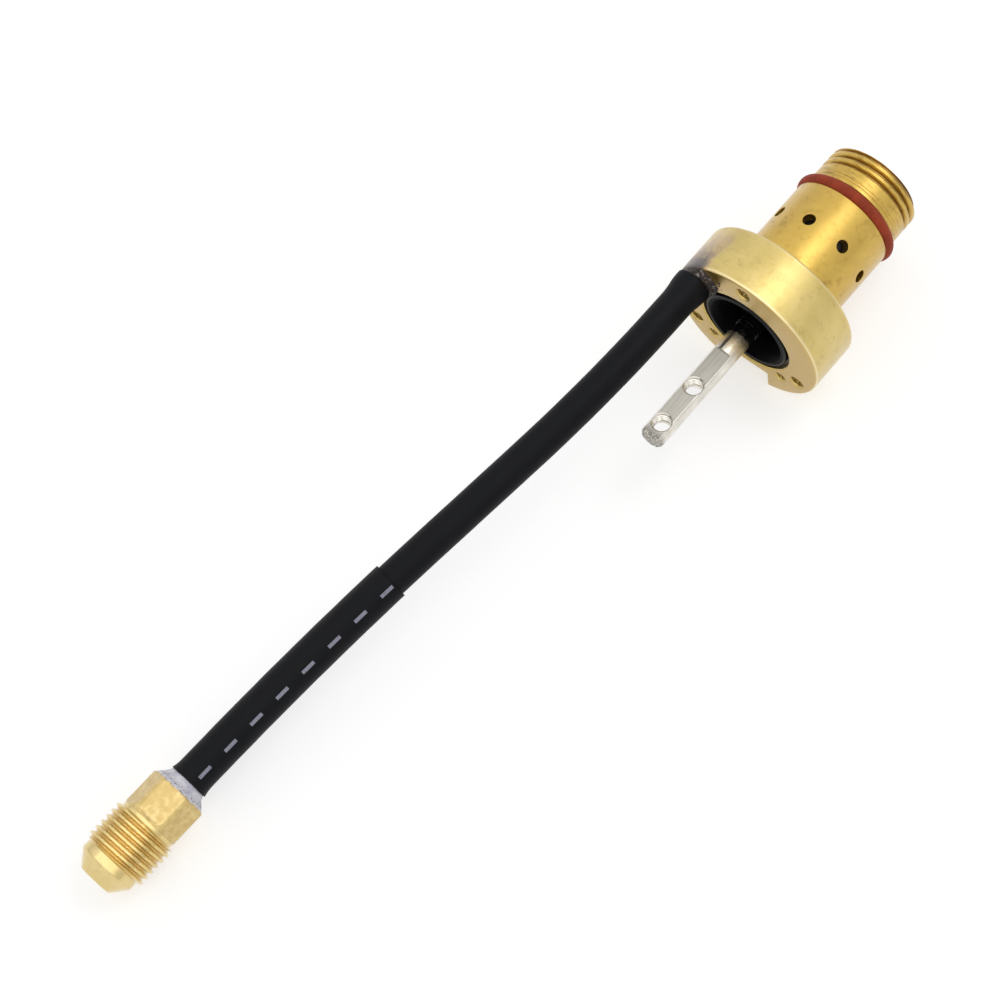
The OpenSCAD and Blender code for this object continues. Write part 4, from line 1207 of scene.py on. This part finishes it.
class TORCH_OT_terminal(bpy.types.Operator):
    """Make the terminal stem: round, with a milled flat, two tapped cross holes and a rough tip"""

    bl_idname = "torch.terminal"
    bl_label = "Terminal"

    def execute(self, context):
        stem = sizes("torch_stem")
        radius, thin, edge = stem.stem_d / 2, stem.thread_d / 2, stem.tip_edge
        tip, flat_x, sleeve_x = -stem.reach, -stem.flat_start, -stem.sleeve_start
        corners = [(tip, radius / 4, 0), (tip, radius - edge, 0.15), (tip + edge, radius, 0.25)]
        corners += [(x, radius, 0) for x in (tip + 1.5, flat_x - 0.001, flat_x)]
        corners += [(sleeve_x, radius, 0.2), (sleeve_x, thin, 0.05)]
        corners += [(stem.inner_end_x, thin, 0.4), (stem.inner_end_x, thin / 4, 0)]
        line = softened(corners)
        rows = finer_where(line, line[:, 0] < tip + 1.501, 0.12)
        x, r, t = rows[:, :1], rows[:, 1:], around(240)
        milled = np.minimum(r, self.milled(stem, off_centre(t, stem.flat_angle)))
        r = np.where(x < flat_x, milled, r)
        sawn_l, ragged, hollow = 1.4, 0.28, 0.16  # the sawn tip's length, and how uneven its side and end are
        sawn = smooth_step(tip + sawn_l - x, 0, sawn_l) * (r > 0.5)
        r = r - sawn * ragged * np.abs(lumps(t, 3, 151, b=x))
        waves = ripple(r * np.cos(t), r * np.sin(t), 152)
        uneven = np.where(x < tip + 0.05, hollow * waves + hollow, 0)
        body = carved("terminal_dressed", skin("stem", spin(x + uneven, r, t)), list(self.holes(stem)))
        piece("terminal_dressed", body, "terminal_plate", terminal_plate(), "terminal_stem", sharp=15)
        return {"FINISHED"}

    def milled(self, stem, from_flat):
        """Radius of the flat and of the narrow bevels at its sides, at angles from the flat's middle: each
        plane's distance from the axis divided by the cosine of the angle from the plane's normal."""
        reach = 1.2  # radians
        tilt = np.arccos(stem.flat_height / (stem.stem_d / 2)) / 2
        flat = stem.flat_height / np.cos(np.clip(from_flat, -reach, reach))
        flat = np.where(np.abs(from_flat) < reach, flat, stem.stem_d)
        bevel = (stem.stem_d / 2 * np.cos(tilt) - 0.03) / np.cos(np.clip(np.abs(from_flat) - tilt, -1, 1))
        return np.minimum(flat, bevel)

    def holes(self, stem):
        """Cutters for the tapped cross holes, from the flat right through."""
        up, depth = outward(stem.flat_angle), stem.flat_height + stem.stem_d / 2
        for k in range(2):
            mouth = np.array([-stem.hole_x - k * stem.hole_gap, 0, 0]) + up * stem.flat_height
            axes = axes_at(mouth, -up, (1, 0, 0))
            yield tapped_cutter("cross", axes, stem.hole_d, stem.hole_pitch, depth, 0.4, 0.9, 96)


class TORCH_OT_stem_sleeve(bpy.types.Operator):
    """Make the black sleeve on the terminal, with two rounded ribs"""

    bl_idname = "torch.stem_sleeve"
    bl_label = "Terminal sleeve"

    def execute(self, context):
        core, stem = sizes("torch_core"), sizes("torch_stem")
        radius, bore, rib = stem.stem_d / 2, stem.thread_d / 2 + core.slip, stem.stem_d / 2 - 0.05
        waist, start, end = radius - stem.sleeve_rib, -stem.sleeve_start + core.fit, stem.sleeve_end_x
        corners = [(start, waist, 0.12)]
        for x in (0.2, 1.0):
            corners += [(x, waist, 0.03), (x + 0.05, rib, 0.1), (x + 0.3, rib, 0.1), (x + 0.35, waist, 0.03)]
        corners += [(1.8, waist, 0.2), (2.2, radius, 0.2), (end, radius, 0.2), (end, bore, 0.05)]
        sleeve = lathed("stem_cover", [*corners, (start, bore, 0.05)], 96)
        piece("stem_cover", sleeve, "black_insulator", black_insulator(), "stem_sleeve")
        return {"FINISHED"}


class TORCH_OT_hardware(bpy.types.Operator):
    """Make the nut and the washer with broken edges, and finish the spring ring and the copper tube"""

    bl_idname = "torch.hardware"
    bl_label = "Hardware"

    def execute(self, context):
        core, stem, steel = sizes("torch_core"), sizes("torch_stem"), hardware_steel()
        bore, washer_x = stem.thread_d / 2 + core.slip, core.floor_x - stem.washer_t
        piece("nut_dressed", self.nut(stem, bore, washer_x, core.fit), "hardware_steel", steel, "stem_nut")
        outer, end = stem.nut_af / 2 + 1.2, core.floor_x - core.fit
        corners = [(washer_x, bore, 0.08), (washer_x, outer, 0.2), (end, outer, 0.1), (end, bore, 0.08)]
        washer = lathed("washer_dressed", corners, 128)
        piece("washer_dressed", washer, "hardware_steel", steel, "stem_washer")
        repaint("retaining_ring", spring_steel())
        repaint("gas_tube", tube_copper())
        return {"FINISHED"}

    def nut(self, stem, bore, washer_x, fit):
        """Hexagon round a bore, whose corners a chamfer of 30 degrees takes off at both ends."""
        nut_x, end, corner = washer_x - stem.nut_t, washer_x - fit, stem.nut_af / np.sqrt(3)
        corners = [(nut_x, bore + 0.2, 0.05), (nut_x, corner, 0), (end, corner, 0), (end, bore, 0)]
        line = finer(softened(corners), 0.12, closed=True)
        x, r, t = line[:, :1], line[:, 1:], around(144)
        cone = stem.nut_af / 2 - 0.05 + np.sqrt(3) * np.clip(np.minimum(x - nut_x, end - x), 0, None)
        r = np.where(r > bore + 0.25, np.minimum(r, np.minimum(hexagon(t, stem.nut_af, 0), cone)), r)
        return skin("nut_dressed", spin(x, r, t), loop=True)


class TORCH_OT_sleeves(bpy.types.Operator):
    """Make the two heat-shrink sleeves along the tube's route"""

    bl_idname = "torch.sleeves"
    bl_label = "Heat-shrink sleeves"

    def execute(self, context):
        tube = sizes("torch_tube")
        bore = tube.tube_d / 2 + tube.slip
        wall, bulge, start = bore + tube.inner_wall, tube.bulge_d / 2, tube.sleeve_start
        end = route_length() - fitting_marks()[2] - sizes("torch_fitting").collar_l - 0.02
        flat_end, run_out = start + tube.bulge_flat_l, start + tube.bulge_flat_l + tube.bulge_taper_l
        inner = [(start, bulge, 0.45), (flat_end, bulge, 1.4), (run_out, wall, 1.6), (end, wall, 0.1)]
        inner += [(end, bore, 0.1), (run_out, bore, 0.5)]
        inner += [(flat_end, bulge - tube.inner_wall, 0.5), (start, bulge - tube.inner_wall, 0.1)]
        self.sleeve("sleeve_inner", inner, False, "heat_shrink_inner", 161)
        low, high, start = wall + tube.slip, wall + tube.slip + tube.outer_wall, end - tube.outer_l
        outer = [(start, high, 0.12), (end - 1.6, high, 1.0), (end, high + tube.mouth_swell, 0.12)]
        outer += [(end, low + 0.1, 0.05), (end - 1.6, low, 0.5), (start, low, 0.05)]
        self.sleeve("sleeve_outer", outer, True, "heat_shrink_outer", 163)
        return {"FINISHED"}

    def sleeve(self, name, corners, printed, node, seed):
        """Sleeve: its wall's outline, carried along the route and round it, with a slight unevenness on the
        outside; each point keeps its length along the route and how far round it lies."""
        tube, rows = sizes("torch_tube"), finer(softened(corners), 1.0, closed=True)
        s, r, t = rows[:, :1], rows[:, 1:], around(96)
        outside = r > tube.tube_d / 2 + tube.slip + 0.4
        r = r + outside * 0.02 * lumps(t, 2, seed, a=s * 0.4)
        mesh = skin(name, swept(s, r, t), loop=True)
        with_values(mesh, along=np.broadcast_to(s, r.shape), wrap=off_centre(t, tube.print_turn) * r)
        piece(name, mesh, "shrink_sleeve", shrink_sleeve(name, printed), node)


class TORCH_OT_braze(bpy.types.Operator):
    """Make the burnt braze at the flange with its flux crumbs, and the fluxed braze collar at the fitting"""

    bl_idname = "torch.braze"
    bl_label = "Braze"

    def execute(self, context):
        tube = sizes("torch_tube")
        inner, foot = tube.tube_d / 2 + tube.slip, tube.braze_foot_r
        bulge = tube.bulge_d / 2 - tube.inner_wall - 0.03
        sleeve, flat_end = tube.sleeve_start, tube.sleeve_start + tube.bulge_flat_l
        corners = [(0.02, inner, 0), (0.02, foot + 0.9, 0.1), (0.55, foot + 0.2, 0.3)]
        corners += [(sleeve, bulge + 0.35, 0.2), (sleeve + 0.3, bulge, 0.05)]
        corners += [(flat_end - 0.5, bulge, 0.5), (flat_end + 2, inner, 0)]
        line = finer(softened(corners), 0.2, closed=True)
        s, r, t = line[:, :1], line[:, 1:], around(160)
        bumps = 0.32 * lumps(t, 4, 171, b=s) * smooth_step(sleeve + 0.3 - s, 0, 0.6)
        r = np.where((s < sleeve + 0.2) & (r > inner + 0.1), r + bumps, r)
        shells = [skin("foot", self.on_flange(swept(s, r, t)), loop=True), *self.crumbs()]
        mesh = gathered("braze_foot", shells)
        piece("braze_foot", mesh, "burnt_braze", burnt_braze(), "tube_braze", sharp=60)
        piece("braze_collar", self.collar(inner), "white_flux", white_flux(), "fitting_braze", sharp=60)
        return {"FINISHED"}

    def on_flange(self, grid):
        """Draws points in towards the torch axis where they would stand out past the flange's rim."""
        rim = sizes("torch_head").flange_d / 2 - 0.15
        radius = np.linalg.norm(grid[..., 1:], axis=-1, keepdims=True)
        flat = np.where(radius > rim, grid[..., 1:] * rim / radius, grid[..., 1:])
        return np.concatenate([grid[..., :1], flat], -1)

    def crumbs(self):
        """Crumbs of flux on the flange's rear face round the braze: small flattened balls with wavy sides,
        at random angles, distances and sizes."""
        head, count, dice = sizes("torch_head"), 46, np.random.default_rng(175)
        centre, _, normal, other = route(0.0)
        t, lift = around(12), np.linspace(0.15, 0.98, 6)[:, None] * TURN / 2
        places = [dice.uniform(low, high, count) for low, high in ((0, TURN), (5.1, 7.6), (0.1, 0.34))]
        sunk = np.array([-0.05, 0, 0])
        for turn, reach, size in zip(*places):
            middle = centre + reach * (np.cos(turn) * normal + np.sin(turn) * other)
            if head.rear_bore_d / 2 + 0.6 < np.hypot(*middle[1:]) < head.flange_d / 2 - 0.7:
                wave = 1 + 0.25 * lumps(t, 2, 176, turn * 9, lift)
                ball = spin(size * 0.55 * np.cos(lift), size * np.sin(lift) * wave, t)
                yield skin("crumb", ball + middle + sunk)

    def collar(self, inner):
        """Braze collar: from the hexagon's rear down to the sleeves, drawn in at its middle and lumpy."""
        fitting, start = sizes("torch_fitting"), fitting_marks()[2]
        foot, middle, end = fitting.hex_af / 2 - 0.2, start + fitting.collar_l / 2, start + fitting.collar_l
        corners = [(start, inner, 0), (start, foot, 0), (middle, foot - fitting.collar_waist, 0.8)]
        corners += [(end, inner + 1.4, 0.2), (end, inner, 0)]
        line = finer(softened(corners), 0.15, closed=True)
        x, r, t = line[:, :1], line[:, 1:], around(192)
        bumps = 0.16 * lumps(t, 5, 181, a=x) + 0.07 * lumps(t, 16, 182, b=3 * x)
        outside = smooth_step(r, inner + 0.6, inner + 1.4) * smooth_step(x, start - 0.1, start + 0.3)
        return skin("braze_collar", placed(spin(x, r + bumps * outside, t), fitting_axes()), loop=True)


class TORCH_OT_fitting(bpy.types.Operator):
    """Make the flare fitting: cone, land, helical thread, relief and chamfered hexagon round its bore"""

    bl_idname = "torch.fitting"
    bl_label = "Flare fitting"

    def execute(self, context):
        part, tube, (thread_x, hex_x, end) = sizes("torch_fitting"), sizes("torch_tube"), fitting_marks()
        land, crest, bore = part.land_d / 2, part.thread_d / 2, part.bore_d / 2
        corner, socket = part.hex_corner_d / 2, tube.tube_d / 2 + tube.slip
        relief_x, socket_x = hex_x - part.relief_l, end - part.socket_l
        corners = [(0, bore, 0.2), (0, part.front_d / 2, 0.3), (part.flare_l, land, 0.35)]
        corners += [(thread_x, land, 0.1), (thread_x + 0.5, crest, 0.1), (relief_x - 0.5, crest, 0.1)]
        corners += [(relief_x, land, 0.1), (hex_x, land, 0.1), (hex_x, corner, 0)]
        corners += [(end, corner, 0), (end, socket, 0.1)]
        line = softened([*corners, (socket_x, socket, 0), (socket_x, bore, 0)])
        rows = finer_where(line, line[:, 1] > tube.tube_d / 2 + 0.5, 0.1)
        x, r, t = rows[:, :1], rows[:, 1:], around(240) - part.hex_angle
        depth = 0.5 * part.pitch
        cut = screw(x, t, part.pitch, depth, thread_x + part.pitch / 4)
        threaded = (r > crest - depth - 0.2) & (x > thread_x) & (x < relief_x)
        r = np.where(threaded, np.minimum(r, crest - cut), r)
        on_hexagon = (r > tube.tube_d / 2 + 1) & (x >= hex_x)
        r = np.where(on_hexagon, np.minimum(r, self.facets(part, x, t, hex_x, end)), r)
        mesh = skin("fitting_dressed", placed(spin(x, r, t), fitting_axes()), loop=True)
        piece("fitting_dressed", mesh, "fitting_brass", fitting_brass(), "flare_fitting", sharp=15)
        return {"FINISHED"}

    def facets(self, part, x, t, hex_x, end):
        """Radius of the hexagon within its turned corners and the chamfer on its rear edge. A round cutter
        leaves the flats: towards the thread their width grows by twice what its circle falls short of its
        radius."""
        corner, run_out = part.hex_corner_d / 2, part.hex_run_out
        rise = corner - part.hex_af / 2
        cutter = (run_out**2 + rise**2) / (2 * rise)
        short = np.clip(hex_x + run_out - x, 0, run_out)
        flats = part.hex_af + 2 * (cutter - np.sqrt(cutter**2 - short**2))
        rear = corner - part.hex_edge + (end - x)
        return np.minimum(hexagon(t, flats, -part.hex_angle), np.minimum(rear, corner))


# Stage


CAMERA_PLACE = (-213.191, -187.669, 514.611)  # millimetres
CAMERA_TURNS = (25.32634, 6.68391, -49.62465)  # degrees about X, Y and Z
WHITE = (1, 1, 1)
SKY_LIGHT = 0.6  # strength of the world's even light


def seen(paint):
    """1 for rays that show the surroundings: to the camera, and by reflection and through glass."""
    kinds = ("Is Camera Ray", "Is Glossy Ray", "Is Transmission Ray")
    camera, glossy, through = [paint.add("ShaderNodeLightPath", out=kind) for kind in kinds]
    return camera.maths("MAXIMUM", camera, glossy.maths("MAXIMUM", glossy, through))


class TORCH_OT_stage(bpy.types.Operator):
    """Make the pale floor, the soft light, the world and the camera"""

    bl_idname = "torch.stage"
    bl_label = "Stage"

    def execute(self, context):
        scene = context.scene
        scene.view_settings.view_transform = "Standard"
        self.floor()
        self.world(scene)
        self.lamp("key", (0.36, -0.22, 0.91), distance=0.8, size=0.36, power=0.82)
        self.lamp("side", (0.1, 0.85, 0.5), distance=1.0, size=0.5, power=0.25)
        self.camera(scene)
        return {"FINISHED"}

    def floor(self):
        """Large square just under the object, which takes its shadow and glows enough to show white."""
        reach, low = 4000, CAD_BOX[0][2] / MM - 0.02
        corners = np.array([(x * reach, y * reach, low) for x, y in ((-1, -1), (1, -1), (1, 1), (-1, 1))])
        mesh = bpy.data.meshes.new("floor")
        mesh.from_pydata((corners * MM).tolist(), [], [(0, 1, 2, 3)])
        paint = Finish("floor")
        paint.finish(Base_Color=(0.66, 0.66, 0.66), Roughness=0.9, Specular_IOR_Level=0.0)
        plain = Wire(paint, paint.shader.outputs[0])
        glow = paint.add("ShaderNodeEmission", {}, {"Color": WHITE, "Strength": 0.585})
        lit = paint.add("ShaderNodeAddShader", {}, {0: plain, 1: glow})
        both = paint.add("ShaderNodeMixShader", {}, {0: seen(paint), 1: plain, 2: lit})
        paint.feed(paint.tree.nodes["Material Output"].inputs["Surface"], both)
        floor = bpy.data.objects.new("floor", mesh)
        mesh.materials.append(paint.material)
        bpy.context.scene.collection.objects.link(floor)
        floor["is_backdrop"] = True

    def world(self, scene):
        """Plain soft light from everywhere. What metal reflects is grey low down, paler above, and white
        where a wide soft ceiling hangs behind the torch."""
        world = bpy.data.worlds.new("studio")
        world.use_nodes = True
        scene.world = world
        paint = Paint(world.node_tree)
        here = paint.add("ShaderNodeTexCoord", out="Generated")
        height = paint.add("ShaderNodeSeparateXYZ", {}, {0: here}, out="Z")
        glossy = paint.add("ShaderNodeLightPath", out="Is Glossy Ray")
        level = paint.vector("MULTIPLY", here, (1.5, 1, 0))
        aside = paint.vector("DISTANCE", level, (-0.4, -0.08, 0), out="Value")
        ceiling = aside.between(0.88, 0.62) * height.between(0.1, 0.3)
        behind = paint.vector("DOT_PRODUCT", here, (-1, 0, 0), out="Value").between(0.6, 0.9)
        mirrored = 0.82 + height.between(0.2, 0.8) * 0.26 + ceiling * 0.5 + behind * 0.22
        shown = 1 + glossy * (mirrored - 1)
        sky = paint.tree.nodes["Background"]
        paint.feed(sky.inputs["Color"], WHITE)
        paint.feed(sky.inputs["Strength"], SKY_LIGHT + seen(paint) * (shown - SKY_LIGHT))

    def lamp(self, name, toward, distance, size, power):
        """Square soft box, aimed at the head of the torch from a direction, at a distance in metres."""
        lamp = bpy.data.lights.new(name, "AREA")
        lamp.shape, lamp.size, lamp.energy = "SQUARE", size, power
        light = bpy.data.objects.new(name, lamp)
        toward = Vector(toward).normalized()
        light.location = toward * distance
        light.rotation_euler = toward.to_track_quat("Z", "Y").to_euler()
        bpy.context.scene.collection.objects.link(light)

    def camera(self, scene):
        """Camera above and behind the torch, looking down its length to the side."""
        lens = bpy.data.cameras.new("camera")
        lens.lens, lens.sensor_width, lens.clip_start = 93.6, 36, 0.01
        camera = bpy.data.objects.new("camera", lens)
        camera.location = Vector(CAMERA_PLACE) * MM
        camera.rotation_euler = np.radians(CAMERA_TURNS)
        scene.collection.objects.link(camera)
        scene.camera = camera


PIECES = (
    TORCH_OT_flange,
    TORCH_OT_barrel,
    TORCH_OT_seals,
    TORCH_OT_cup,
    TORCH_OT_inner_bodies,
    TORCH_OT_terminal,
    TORCH_OT_stem_sleeve,
    TORCH_OT_hardware,
    TORCH_OT_sleeves,
    TORCH_OT_braze,
    TORCH_OT_fitting,
    TORCH_OT_stage,
)


class TORCH_PT_panel(bpy.types.Panel):
    """Lists the torch's pieces with their sizes and colours"""

    bl_idname = "TORCH_PT_panel"
    bl_label = "Torch head"
    bl_space_type = "VIEW_3D"
    bl_region_type = "UI"
    bl_category = "Torch"

    def draw(self, context):
        for operator in PIECES:
            self.layout.operator(operator.bl_idname)
        for name, kind in GROUPS.items():
            box = self.layout.box()
            for field in kind.__annotations__:
                box.prop(getattr(context.scene, name), field)


def register():
    """Makes the groups, operators and panel known, and gives the scene its groups."""
    for kind in (*GROUPS.values(), *PIECES, TORCH_PT_panel):
        bpy.utils.register_class(kind)
    for name, kind in GROUPS.items():
        setattr(bpy.types.Scene, name, PointerProperty(type=kind))


def unregister():
    """Takes back all that register gave."""
    for name in GROUPS:
        delattr(bpy.types.Scene, name)
    for kind in (TORCH_PT_panel, *reversed(PIECES), *reversed(GROUPS.values())):
        bpy.utils.unregister_class(kind)


def main():
    """Makes every piece and the stage by its operator."""
    register()
    for operator in PIECES:
        group, name = operator.bl_idname.split(".")
        getattr(getattr(bpy.ops, group), name)()
    boxes = {"cad": CAD_BOX, "visual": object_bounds()}
    {name: [list(corner) for corner in box] for name, box in boxes.items()}


if __name__ == "__main__":
    main()
